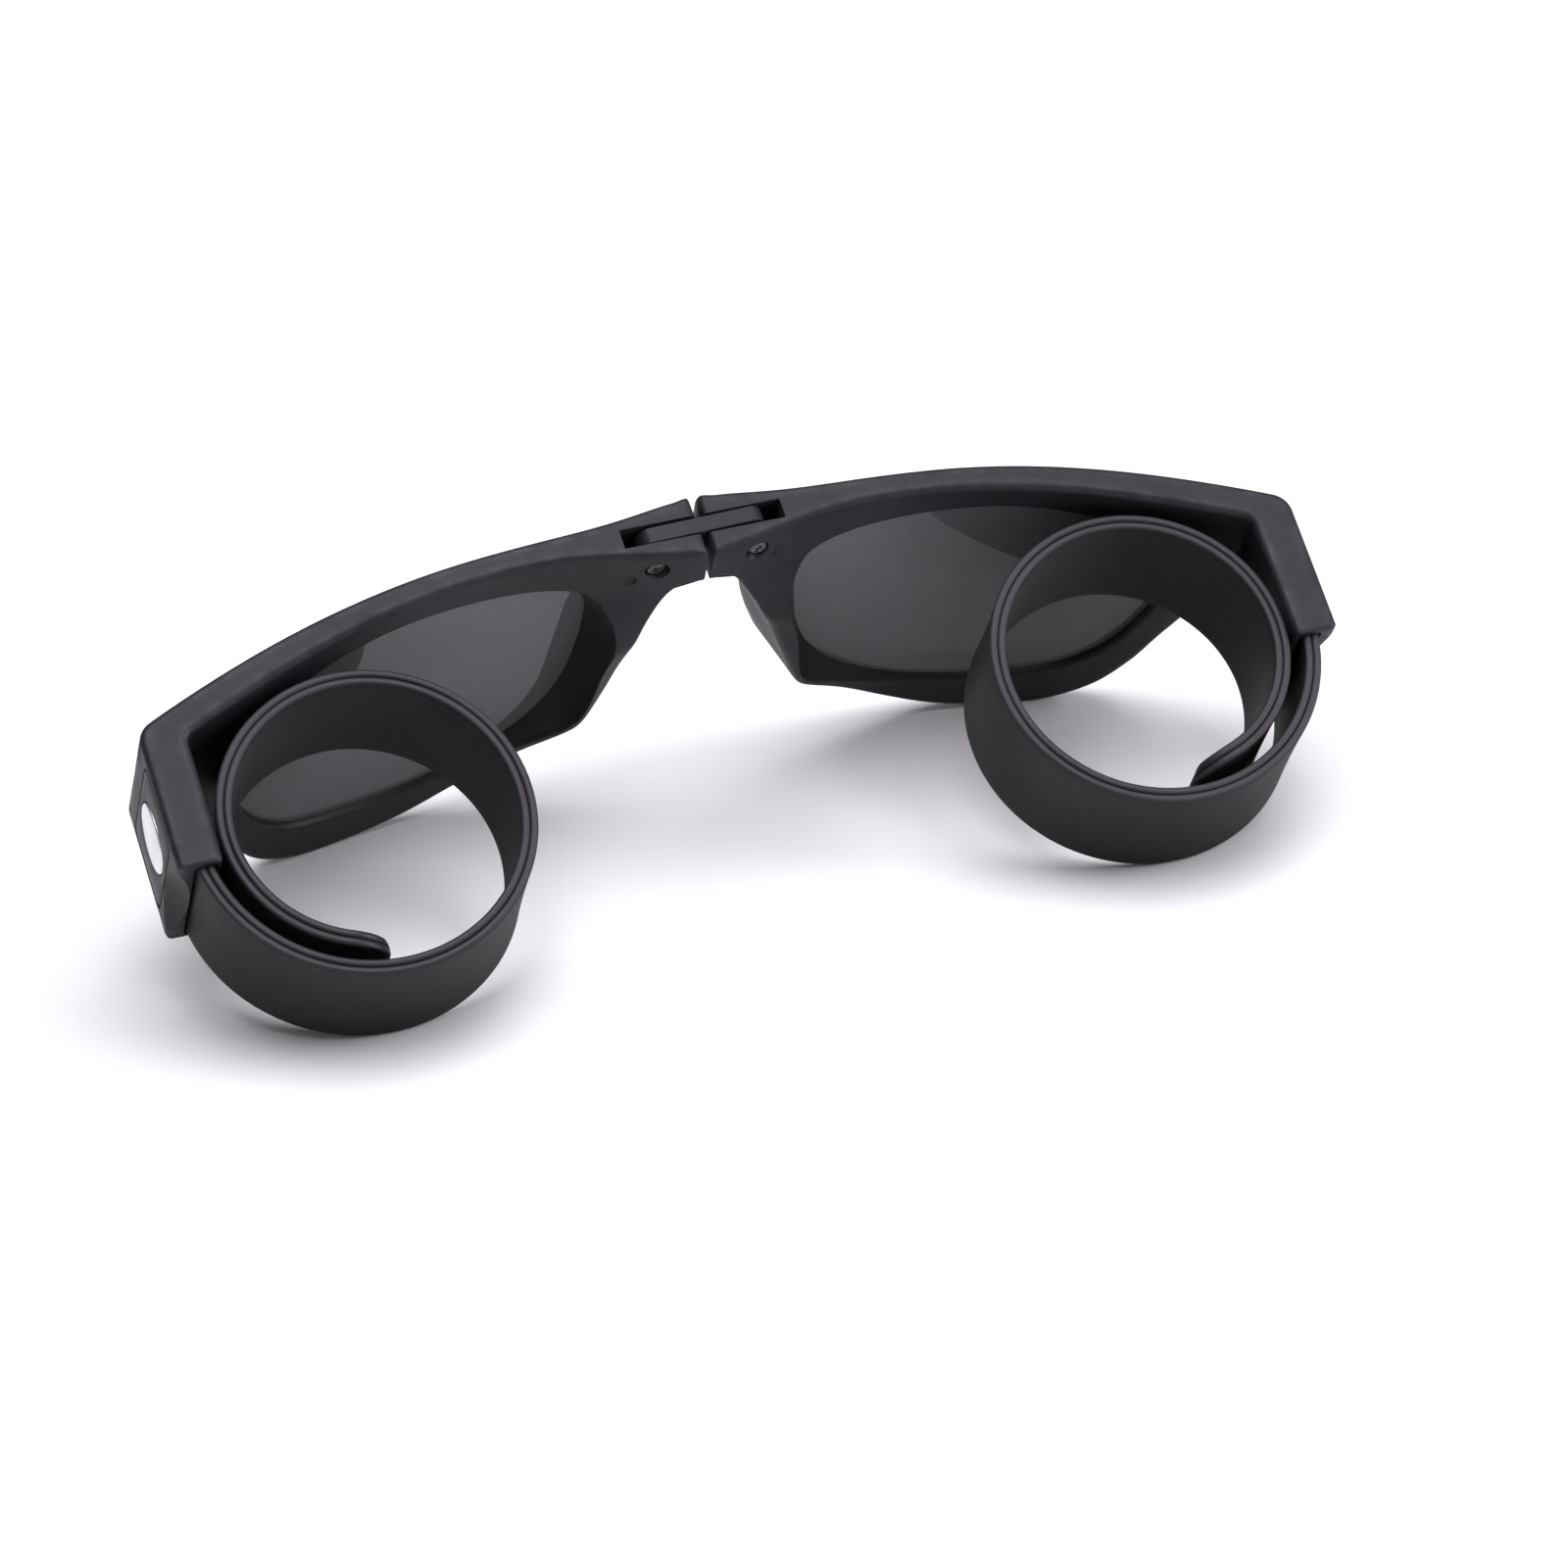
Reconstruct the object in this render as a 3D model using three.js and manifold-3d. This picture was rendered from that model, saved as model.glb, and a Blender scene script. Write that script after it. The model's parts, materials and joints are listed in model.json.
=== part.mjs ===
// Folding sunglasses with coiled wrap-on bands, lying on a table.
//
// The glasses are built in the frame in which they are worn: x to the wearer's right, y forward,
// z up, with the top of the temple stubs at z = 0. The whole group is then pitched back until the
// lens rims and the coils both touch the table. Each half folds up about a screw in the bridge
// link, and each band is a chain of short links that unrolls from its coil into a temple.

import * as THREE from 'three';
import { mergeVertices } from 'three/addons/utils/BufferGeometryUtils.js';
import Module from 'manifold-3d';

const wasm = await Module();
wasm.setup();

// Fits
const CLEARANCE = 0.3;
const LENS_CLEARANCE = 0.25;
const CUT_OVERRUN = 3;
const WELD = 1e-5;

// Frame half, in plan
const HALF_WIDTH = 73.4;
const HALF_GAP = 0.35;
const GAP_SHOULDER_X = 0.9;
const BROW_Y = 13;
const BROW_SWEEP = 13.6;
const BROW_POWER = 2.75;
const BRIDGE_BULGE = 1.4;
const BRIDGE_BULGE_SPREAD = 9;
const BRIDGE_THICKENING = 4.8;
const BRIDGE_DEPTH_SPREAD = 12;
const BROW_THICKNESS = 3.3;
const BROW_OUTER_THICKNESS = 4.2;
const CORNER_RADIUS = 3;
const INNER_CORNER = 1.2;
const INNER_CORNER_DROP = 0.5;
const STUB_THICKNESS = 5.6;
const STUB_REAR_Y = -19.3;

// Frame half, in height
const BROW_RISE = 1.6;
const BROW_FALL_START_X = 30;
const BRIDGE_DROP = 4.2;
const BRIDGE_ARCH_SHARE = 0.65;
const BRIDGE_ARCH_DROP = 1.4;
const STUB_HEIGHT = 19.5;
const EDGE_ROUND = 0.9;
const EDGE_PROFILE = [[0, 1], [0.29, 0.29], [1, 0]];
const LENS_TILT = 7.4;
const NOSE_PAD_DEPTH = 4.3;
const NOSE_PAD_X = 13.5;
const NOSE_PAD_INNER_SPREAD = 6;
const NOSE_PAD_OUTER_SPREAD = 14;
const NOSE_PAD_TOP = 5.9;
const NOSE_PAD_RUN = 8.1;
const NOSE_PAD_FALL_START = 16;
const NOSE_PAD_FALL_RUN = 20.5;
const NOSE_CANT = 4.1;
const NOSE_CANT_X = 8.8;
const NOSE_CANT_SPREAD = 5.6;
const NOSE_CANT_TOP = 4.2;
const NOSE_CANT_RUN = 14.4;
const RIM_LEDGE = 0.6;
const RIM_LEDGE_MARGIN = 17.4;
const RIM_LEDGE_END_X = HALF_WIDTH - RIM_LEDGE_MARGIN;
const RIM_LEDGE_FADE = 16;

// Lens opening and lens
const LENS_X = 12.6;
const LENS_OUTER_GAP = 11.4;
const LENS_WIDTH = HALF_WIDTH - LENS_X - LENS_OUTER_GAP;
const LENS_TOP_Z = -3.1;
const LENS_HEIGHT = 35.5;
const LENS_LIP = 0.9;
const LENS_SETBACK = 0.7;
const LENS_THICKNESS = 1.9;
const FLARE_SLOPE = 0.54;
const FLARE_SPREAD = 0.45;
const FLARE_CENTRE = [0.35, 0.4];

// Bridge link and pivots
const PIVOT_X = 6.5;
const PIVOT_Z = -1.3;
const KNUCKLE_CLEARANCE = 0.1;
const LINK_Y = 10.6;
const LINK_THICKNESS = 1.9;
const LINK_END_RADIUS = 1.7;
const LINK_RISE = 2.5;
const SLOT_POCKET = 1.2;
const SCREW_SHANK_RADIUS = 0.8;
const SCREW_HEAD_RADIUS = 1.4;
const SCREW_HEAD_HEIGHT = 0.5;
const SCREW_RECESS = 0.1;
const CROSS_SLOT = 0.4;
const CROSS_DEPTH = 0.3;
const CROSS_ARM = 1;
const INSERT_RADIUS = 1.6;
const INSERT_LENGTH = 0.7;

// Temple cover and badge
const COVER_THICKNESS = 1.2;
const COVER_MARGIN = 1.3;
const COVER_FRONT_Y = -4.8;
const COVER_LENGTH = 11;
const COVER_CORNER = 1.5;
const BADGE_LENGTH = 8.8;
const BADGE_HEIGHT = 8;
const BADGE_THICKNESS = 0.7;
const BADGE_PROUD = 0.2;
const SCALLOP_RADIUS = 14;
const SCALLOP_DEPTH = 1.3;
const SCALLOP_TURN = 27;

// Band, coil and chain of links
const BAND_HEIGHT = 17.5;
const BAND_THICKNESS = 2;
const BAND_WALL = 0.5;
const BAND_INSET = 3.5;
const BAND_X = HALF_WIDTH - BAND_INSET;
const BAND_LENGTH = 140;
const BAND_EXIT_HEADING = 10;
const COIL_START_RADIUS = 20.75;
const COIL_END_RADIUS = 16.2;
const BAND_TIP_ROUND = 5;
const TIP_HALF_MIN = 1;
const TIP_SHARES = [0, 0.5, 0.8, 0.95];
const TIP_WALL = 2.5;
const STRIP_THICKNESS = 0.4;
const SOCKET_DEPTH = 8;
const LINK_COUNT = 10;

// Where the search for the resting pitch starts, in degrees
const FIRST_PITCH = 25;

// Counts that set how finely curves are cut
const COLUMNS_PER_SPAN = 2;
const CORNER_COLUMNS = 8;
const CORNER_ARC_STEPS = 6;
const PLAIN_ROWS = 5;
const LENS_COLUMNS = 22;
const LENS_ROWS = 4;
const LINK_STEPS = 4;
const ROUND_SEGMENTS = 16;
const PATH_STEPS = 700;
const SETTLE_STEPS = 30;

const rad = THREE.MathUtils.degToRad;
const smooth = (value, low, high) => THREE.MathUtils.smoothstep(value, low, high);

// Solids: closed geometries in, closed geometries out

function toSolid(geometry) {
  const bare = new THREE.BufferGeometry();
  bare.setAttribute('position', geometry.getAttribute('position').clone());
  if (geometry.index) {
    bare.setIndex(geometry.index.clone());
  }
  const merged = mergeVertices(bare, WELD);
  const index = merged.index.array;
  const triangles = [];
  for (let i = 0; i < index.length; i += 3) {
    const [a, b, c] = [index[i], index[i + 1], index[i + 2]];
    if (a !== b && b !== c && c !== a) {
      triangles.push(a, b, c);
    }
  }
  const mesh = new wasm.Mesh({
    numProp: 3,
    vertProperties: new Float32Array(merged.getAttribute('position').array),
    triVerts: new Uint32Array(triangles),
  });
  return new wasm.Manifold(mesh);
}

function toGeometry(solid) {
  const mesh = solid.getMesh();
  const geometry = new THREE.BufferGeometry();
  geometry.setAttribute('position', new THREE.BufferAttribute(mesh.vertProperties, 3));
  geometry.setIndex(new THREE.BufferAttribute(mesh.triVerts, 1));
  return geometry;
}

function cut(body, ...tools) {
  let solid = toSolid(body);
  for (const tool of tools) {
    solid = solid.subtract(toSolid(tool));
  }
  return toGeometry(solid);
}

function mirrored(geometry) {
  const copy = geometry.index ? geometry.toNonIndexed() : geometry.clone();
  const position = copy.getAttribute('position');
  const flipped = new Float32Array(position.count * 3);
  for (let i = 0; i < position.count; i += 3) {
    [i, i + 2, i + 1].forEach((from, corner) => {
      flipped[(i + corner) * 3] = -position.getX(from);
      flipped[(i + corner) * 3 + 1] = position.getY(from);
      flipped[(i + corner) * 3 + 2] = position.getZ(from);
    });
  }
  const result = new THREE.BufferGeometry();
  result.setAttribute('position', new THREE.BufferAttribute(flipped, 3));
  return result;
}

// A closed block: columns run along x, rows run down, and layer 0 is the front and 1 the rear.
function block(columns, rows, pointAt) {
  const positions = [];
  const quad = (a, b, c, d) => {
    for (const p of [a, c, b, a, d, c]) {
      positions.push(p.x, p.y, p.z);
    }
  };
  for (let i = 0; i < columns; i += 1) {
    for (let j = 0; j < rows; j += 1) {
      quad(pointAt(i, j, 0), pointAt(i, j + 1, 0), pointAt(i + 1, j + 1, 0), pointAt(i + 1, j, 0));
      quad(pointAt(i, j, 1), pointAt(i + 1, j, 1), pointAt(i + 1, j + 1, 1), pointAt(i, j + 1, 1));
    }
    quad(pointAt(i, 0, 0), pointAt(i + 1, 0, 0), pointAt(i + 1, 0, 1), pointAt(i, 0, 1));
    quad(pointAt(i, rows, 0), pointAt(i, rows, 1), pointAt(i + 1, rows, 1), pointAt(i + 1, rows, 0));
  }
  const last = columns;
  for (let j = 0; j < rows; j += 1) {
    quad(pointAt(0, j, 0), pointAt(0, j, 1), pointAt(0, j + 1, 1), pointAt(0, j + 1, 0));
    quad(pointAt(last, j, 0), pointAt(last, j + 1, 0), pointAt(last, j + 1, 1), pointAt(last, j, 1));
  }
  const geometry = new THREE.BufferGeometry();
  geometry.setAttribute('position', new THREE.BufferAttribute(new Float32Array(positions), 3));
  return geometry;
}

function box(x0, x1, y0, y1, z0, z1) {
  const geometry = new THREE.BoxGeometry(x1 - x0, y1 - y0, z1 - z0);
  geometry.translate((x0 + x1) / 2, (y0 + y1) / 2, (z0 + z1) / 2);
  return geometry;
}

// A rod along y, from rearY to frontY, centred on the pivot
function pivotRod(radius, rearY, frontY) {
  const geometry = new THREE.CylinderGeometry(radius, radius, frontY - rearY, ROUND_SEGMENTS);
  geometry.translate(PIVOT_X, (rearY + frontY) / 2, PIVOT_Z);
  return geometry;
}

// A flat shape drawn in (y, z), extruded along x from x0 to x1
function sidePlate(shape, x0, x1, segments) {
  const geometry = new THREE.ExtrudeGeometry(shape, {
    depth: x1 - x0,
    bevelEnabled: false,
    curveSegments: segments,
  });
  const axes = new THREE.Matrix4().makeBasis(
    new THREE.Vector3(0, 1, 0),
    new THREE.Vector3(0, 0, 1),
    new THREE.Vector3(1, 0, 0),
  );
  geometry.applyMatrix4(axes);
  geometry.translate(x0, 0, 0);
  return geometry;
}

// Plan of the brow

function browFront(x) {
  const bulge = BRIDGE_BULGE * Math.exp(-((x / BRIDGE_BULGE_SPREAD) ** 2));
  return BROW_Y + bulge - BROW_SWEEP * (x / HALF_WIDTH) ** BROW_POWER;
}

function browInward(x) {
  const step = 0.01;
  const slope = (browFront(x + step) - browFront(x - step)) / (2 * step);
  return new THREE.Vector2(slope, -1).normalize();
}

function browThickness(x) {
  const bridge = BRIDGE_THICKENING * Math.exp(-((x / BRIDGE_DEPTH_SPREAD) ** 2));
  const outward = smooth(x, BROW_FALL_START_X, HALF_WIDTH);
  return THREE.MathUtils.lerp(BROW_THICKNESS, BROW_OUTER_THICKNESS, outward) + bridge;
}

function browColumn(x) {
  const front = new THREE.Vector2(x, browFront(x));
  const inward = browInward(x);
  return { front, inward, thickness: browThickness(x) };
}

const STUB_INNER_X = HALF_WIDTH - STUB_THICKNESS;

// The brow's rear edge reaches the inner corner at this x
function browEndX() {
  let x = STUB_INNER_X;
  for (let i = 0; i < SETTLE_STEPS; i += 1) {
    x = STUB_INNER_X - INNER_CORNER - browThickness(x) * browInward(x).x;
  }
  return x;
}

// The corner arc touches the brow at this x
function cornerStartX() {
  let x = HALF_WIDTH - CORNER_RADIUS;
  for (let i = 0; i < SETTLE_STEPS; i += 1) {
    x = HALF_WIDTH - CORNER_RADIUS - CORNER_RADIUS * browInward(x).x;
  }
  return x;
}

const BROW_END_X = browEndX();
const CORNER_START_X = cornerStartX();

function cornerFront() {
  const inward = browInward(CORNER_START_X);
  const start = new THREE.Vector2(CORNER_START_X, browFront(CORNER_START_X));
  const centre = start.clone().addScaledVector(inward, CORNER_RADIUS);
  const points = [];
  for (let x = BROW_END_X; x < CORNER_START_X; x += 1) {
    points.push(new THREE.Vector2(x, browFront(x)));
  }
  const from = Math.atan2(start.y - centre.y, start.x - centre.x);
  for (let i = 0; i <= CORNER_ARC_STEPS; i += 1) {
    const angle = from * (1 - i / CORNER_ARC_STEPS);
    const spoke = new THREE.Vector2(Math.cos(angle), Math.sin(angle));
    points.push(spoke.multiplyScalar(CORNER_RADIUS).add(centre));
  }
  return new THREE.SplineCurve(points).getSpacedPoints(CORNER_COLUMNS);
}

function cornerColumns() {
  const front = cornerFront();
  const first = browColumn(BROW_END_X);
  const rearStart = first.front.clone().addScaledVector(first.inward, first.thickness);
  const corner = new THREE.Vector2(STUB_INNER_X, rearStart.y - INNER_CORNER_DROP);
  const rearEnd = new THREE.Vector2(STUB_INNER_X, corner.y - INNER_CORNER);
  const rear = new THREE.QuadraticBezierCurve(rearStart, corner, rearEnd);
  return front.slice(1).map((point, i) => {
    const across = rear.getPoint((i + 1) / CORNER_COLUMNS).sub(point);
    return { front: point, inward: across.clone().normalize(), thickness: across.length() };
  });
}

// Outlines seen from behind, as shares of the lens opening's box

function lensPoint(u, v) {
  return new THREE.Vector2(LENS_X + u * LENS_WIDTH, LENS_TOP_Z - v * LENS_HEIGHT);
}

const NASAL_V = 0.366;
const LENS_UPPER = [
  [0, NASAL_V], [0.013, 0.18], [0.072, 0.08], [0.198, 0.027], [0.388, 0],
  [0.6, 0], [0.789, 0.05], [0.926, 0.16], [0.985, 0.262], [1, NASAL_V],
];
const LENS_LOWER = [
  [0, NASAL_V], [0.021, 0.587], [0.076, 0.743], [0.177, 0.861], [0.325, 0.962],
  [0.494, 1], [0.662, 0.976], [0.8, 0.87], [0.905, 0.69], [0.979, 0.484], [1, NASAL_V],
];
const RIM_LOWER = [
  [-0.125, 0.2], [-0.113, 0.31], [-0.097, 0.432], [-0.067, 0.565], [-0.023, 0.694], [0.069, 0.825],
  [0.199, 0.958], [0.332, 1.078], [0.473, 1.158], [0.635, 1.174], [0.777, 1.146], [0.889, 1.04],
  [0.969, 0.868], [1.029, 0.68],
];

function chain(shares) {
  return new THREE.SplineCurve(shares.map(([u, v]) => lensPoint(u, v)));
}

// The lower edge of a half runs from the bridge round the nose and the lens to the temple.
const LOWER_EDGE = new THREE.SplineCurve([
  new THREE.Vector2(HALF_GAP, -BRIDGE_DROP),
  new THREE.Vector2(GAP_SHOULDER_X, -BRIDGE_DROP),
  new THREE.Vector2((HALF_GAP + PIVOT_X) * BRIDGE_ARCH_SHARE, -BRIDGE_DROP - BRIDGE_ARCH_DROP),
  ...RIM_LOWER.map(([u, v]) => lensPoint(u, v)),
  new THREE.Vector2(BROW_END_X, -STUB_HEIGHT),
]);

function topEdge(x) {
  const brow = BROW_RISE * (1 - smooth(x, BROW_FALL_START_X, BROW_END_X));
  const knuckle = PIVOT_X - KNUCKLE_CLEARANCE;
  const reach = knuckle ** 2 - (PIVOT_X - x) ** 2;
  return x < PIVOT_X ? Math.min(brow, PIVOT_Z + Math.sqrt(Math.max(reach, 0))) : brow;
}

function tiltShare(x) {
  return 1 - smooth(x, LENS_X + LENS_WIDTH, HALF_WIDTH);
}

function lowShare(z) {
  return smooth(-z, NOSE_PAD_TOP, NOSE_PAD_TOP + NOSE_PAD_RUN);
}

// The rim is deeper behind the lens low down, and deepest at the nose pad beside the nose.
function padDepth(x, z) {
  const spread = x < NOSE_PAD_X ? NOSE_PAD_INNER_SPREAD : NOSE_PAD_OUTER_SPREAD;
  const across = Math.exp(-(((x - NOSE_PAD_X) / spread) ** 2));
  const ledge = RIM_LEDGE * (1 - smooth(x, RIM_LEDGE_END_X - RIM_LEDGE_FADE, RIM_LEDGE_END_X));
  const kept = 1 - smooth(-z, NOSE_PAD_FALL_START, NOSE_PAD_FALL_START + NOSE_PAD_FALL_RUN);
  return (NOSE_PAD_DEPTH * across * kept + ledge) * lowShare(z);
}

// The rear of the nose pad leans away from the nose.
function noseCant(x, z) {
  const across = Math.exp(-(((x - NOSE_CANT_X) / NOSE_CANT_SPREAD) ** 2));
  return NOSE_CANT * across * smooth(-z, NOSE_CANT_TOP, NOSE_CANT_TOP + NOSE_CANT_RUN);
}

function place(column, depth, z) {
  const tilt = Math.tan(rad(LENS_TILT)) * tiltShare(column.front.x);
  return new THREE.Vector3(
    column.front.x + column.inward.x * depth,
    column.front.y + column.inward.y * depth + tilt * z,
    z,
  );
}

// Frame half

function frameColumns() {
  const spans = LOWER_EDGE.points.length - 1;
  const columns = LOWER_EDGE.getPoints(spans * COLUMNS_PER_SPAN).map((point) => ({
    ...browColumn(point.x),
    top: topEdge(point.x),
    bottom: point.y,
  }));
  for (const column of cornerColumns()) {
    columns.push({ ...column, top: 0, bottom: -STUB_HEIGHT });
  }
  const stub = new THREE.Vector2(HALF_WIDTH, STUB_REAR_Y);
  columns.push({
    front: stub,
    inward: new THREE.Vector2(-1, 0),
    thickness: STUB_THICKNESS,
    top: 0,
    bottom: -STUB_HEIGHT,
  });
  return columns;
}

// Each section is a rounded rectangle: three rows round each edge and plain rows between.
function frameBlank() {
  const columns = frameColumns();
  const edgeRows = EDGE_PROFILE.length;
  const rows = edgeRows * 2 + PLAIN_ROWS - 2;
  const section = (column, j) => {
    const fromEnd = Math.min(j, rows - j);
    if (fromEnd < edgeRows) {
      const [down, inset] = EDGE_PROFILE[fromEnd];
      const sign = j < edgeRows ? -1 : 1;
      const edge = j < edgeRows ? column.top : column.bottom;
      return { z: edge + sign * down * EDGE_ROUND, inset: inset * EDGE_ROUND };
    }
    const share = (j - edgeRows + 1) / (rows - edgeRows * 2 + 2);
    const z = THREE.MathUtils.lerp(column.top - EDGE_ROUND, column.bottom + EDGE_ROUND, share);
    return { z, inset: 0 };
  };
  return block(columns.length - 1, rows, (i, j, layer) => {
    const column = columns[i];
    const { z, inset } = section(column, j);
    const depth = layer === 0 ? inset : column.thickness + padDepth(column.front.x, z) - inset;
    const point = place(column, depth, z);
    point.x += layer * noseCant(column.front.x, z);
    return point;
  });
}

// How far a point of the opening's outline moves outward per depth, on the nose side only
function flare(point) {
  const centre = lensPoint(...FLARE_CENTRE);
  const across = (point.x - LENS_X) / LENS_WIDTH / FLARE_SPREAD;
  return point.clone().sub(centre).normalize().multiplyScalar(FLARE_SLOPE * Math.exp(-(across ** 2)));
}

// A block with the lens opening's outline, grown by a lip, between two depths behind the brow front
function lensBlock(lip, frontDepth, rearDepth, flared = false) {
  const upper = chain(LENS_UPPER);
  const lower = chain(LENS_LOWER);
  const centre = lensPoint(0.5, 0.5);
  const grow = new THREE.Vector2(1 + (2 * lip) / LENS_WIDTH, 1 + (2 * lip) / LENS_HEIGHT);
  return block(LENS_COLUMNS, LENS_ROWS, (i, j, layer) => {
    const along = (1 - Math.cos((Math.PI * i) / LENS_COLUMNS)) / 2;
    const point = upper.getPoint(along).lerp(lower.getPoint(along), j / LENS_ROWS);
    point.sub(centre).multiply(grow).add(centre);
    if (flared && layer === 1) {
      point.addScaledVector(flare(point), rearDepth - frontDepth);
    }
    return place(browColumn(point.x), layer === 0 ? frontDepth : rearDepth, point.y);
  });
}

const LENS_REAR = LENS_SETBACK + LENS_THICKNESS;
const LINK_REAR_Y = LINK_Y - LINK_THICKNESS / 2;
const LINK_FRONT_Y = LINK_Y + LINK_THICKNESS / 2;
const SLOT_REAR_Y = LINK_REAR_Y - CLEARANCE;
const SLOT_FRONT_Y = LINK_FRONT_Y + CLEARANCE;
const BRIDGE_REAR_Y = browFront(PIVOT_X) - browThickness(PIVOT_X) + Math.tan(rad(LENS_TILT)) * PIVOT_Z;
const SCREW_HEAD_Y = BRIDGE_REAR_Y + SCREW_RECESS;
const INSERT_REAR_Y = SLOT_FRONT_Y + CLEARANCE / 2;
const INSERT_FRONT_Y = INSERT_REAR_Y + INSERT_LENGTH;
const COVER_MID_Y = COVER_FRONT_Y - COVER_LENGTH / 2;
const COVER_MID_Z = -STUB_HEIGHT / 2;
const BAND_TOP_Z = -(STUB_HEIGHT - BAND_HEIGHT) / 2;
const BAND_BOTTOM_Z = BAND_TOP_Z - BAND_HEIGHT;

function coverShape(growth) {
  const half = COVER_LENGTH / 2 + growth;
  const tall = STUB_HEIGHT / 2 - COVER_MARGIN + growth;
  const round = COVER_CORNER + growth;
  const [y0, y1] = [COVER_MID_Y - half, COVER_MID_Y + half];
  const [z0, z1] = [COVER_MID_Z - tall, COVER_MID_Z + tall];
  const shape = new THREE.Shape();
  shape.moveTo(y0 + round, z0);
  shape.lineTo(y1 - round, z0);
  shape.absarc(y1 - round, z0 + round, round, -Math.PI / 2, 0);
  shape.lineTo(y1, z1 - round);
  shape.absarc(y1 - round, z1 - round, round, 0, Math.PI / 2);
  shape.lineTo(y0 + round, z1);
  shape.absarc(y0 + round, z1 - round, round, Math.PI / 2, Math.PI);
  shape.lineTo(y0, z0 + round);
  shape.absarc(y0 + round, z0 + round, round, Math.PI, Math.PI * 1.5);
  return shape;
}

function badgeShape(growth) {
  const shape = new THREE.Shape();
  const along = BADGE_LENGTH / 2 + growth;
  const upward = BADGE_HEIGHT / 2 + growth;
  shape.absellipse(COVER_MID_Y, COVER_MID_Z, along, upward, 0, Math.PI * 2);
  return shape;
}

// A thumb scallop across the outer rear corner of the stub
function scallop() {
  const reach = SCALLOP_RADIUS - SCALLOP_DEPTH;
  const geometry = new THREE.SphereGeometry(SCALLOP_RADIUS, ROUND_SEGMENTS * 2, ROUND_SEGMENTS);
  geometry.translate(
    HALF_WIDTH + reach * Math.cos(rad(SCALLOP_TURN)),
    STUB_REAR_Y - reach * Math.sin(rad(SCALLOP_TURN)),
    COVER_MID_Z,
  );
  return geometry;
}

function frameHalf() {
  const past = CUT_OVERRUN;
  const groove = [LENS_LIP + LENS_CLEARANCE, LENS_SETBACK - LENS_CLEARANCE, LENS_REAR + LENS_CLEARANCE];
  const opening = lensBlock(0, -past, LENS_REAR + LENS_CLEARANCE);
  const rearOpening = lensBlock(0, LENS_REAR, BROW_THICKNESS + NOSE_PAD_DEPTH + past, true);
  const slotEndX = PIVOT_X + LINK_END_RADIUS + SLOT_POCKET;
  const slotFloorZ = PIVOT_Z - LINK_END_RADIUS - CLEARANCE;
  const slot = box(-past, slotEndX, SLOT_REAR_Y, SLOT_FRONT_Y, slotFloorZ, BROW_RISE + past);
  const shankHole = pivotRod(SCREW_SHANK_RADIUS + CLEARANCE, BRIDGE_REAR_Y - past, SLOT_FRONT_Y);
  const headHole = pivotRod(
    SCREW_HEAD_RADIUS + CLEARANCE,
    BRIDGE_REAR_Y - past,
    SCREW_HEAD_Y + SCREW_HEAD_HEIGHT + CLEARANCE,
  );
  const insertHole = pivotRod(INSERT_RADIUS + CLEARANCE, LINK_Y, INSERT_FRONT_Y + CLEARANCE);
  const halfSocket = BAND_THICKNESS / 2 + CLEARANCE;
  const socket = box(
    BAND_X - halfSocket,
    BAND_X + halfSocket,
    STUB_REAR_Y - past,
    STUB_REAR_Y + SOCKET_DEPTH,
    BAND_BOTTOM_Z - CLEARANCE / 2,
    BAND_TOP_Z + CLEARANCE / 2,
  );
  const coverSeat = sidePlate(
    coverShape(CLEARANCE),
    HALF_WIDTH - COVER_THICKNESS - CLEARANCE,
    HALF_WIDTH + past,
    ROUND_SEGMENTS / 4,
  );
  return cut(
    frameBlank(),
    opening,
    rearOpening,
    lensBlock(...groove),
    slot,
    shankHole,
    headHole,
    insertHole,
    socket,
    coverSeat,
    scallop(),
  );
}

function lens() {
  return lensBlock(LENS_LIP, LENS_SETBACK, LENS_REAR);
}

// Bridge pieces

function bridgeLink() {
  const shape = new THREE.Shape();
  shape.absarc(PIVOT_X, PIVOT_Z, LINK_END_RADIUS, -Math.PI / 2, 0);
  shape.absellipse(PIVOT_X, PIVOT_Z, LINK_END_RADIUS, LINK_RISE, 0, Math.PI / 2);
  shape.absellipse(-PIVOT_X, PIVOT_Z, LINK_END_RADIUS, LINK_RISE, Math.PI / 2, Math.PI);
  shape.absarc(-PIVOT_X, PIVOT_Z, LINK_END_RADIUS, Math.PI, Math.PI * 1.5);
  for (const side of [-1, 1]) {
    const bore = new THREE.Path();
    bore.absarc(side * PIVOT_X, PIVOT_Z, SCREW_SHANK_RADIUS + CLEARANCE, 0, Math.PI * 2);
    shape.holes.push(bore);
  }
  const geometry = new THREE.ExtrudeGeometry(shape, {
    depth: LINK_THICKNESS,
    bevelEnabled: false,
    curveSegments: ROUND_SEGMENTS / 2,
  });
  geometry.rotateX(Math.PI / 2);
  geometry.translate(0, LINK_FRONT_Y, 0);
  return geometry;
}

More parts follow.
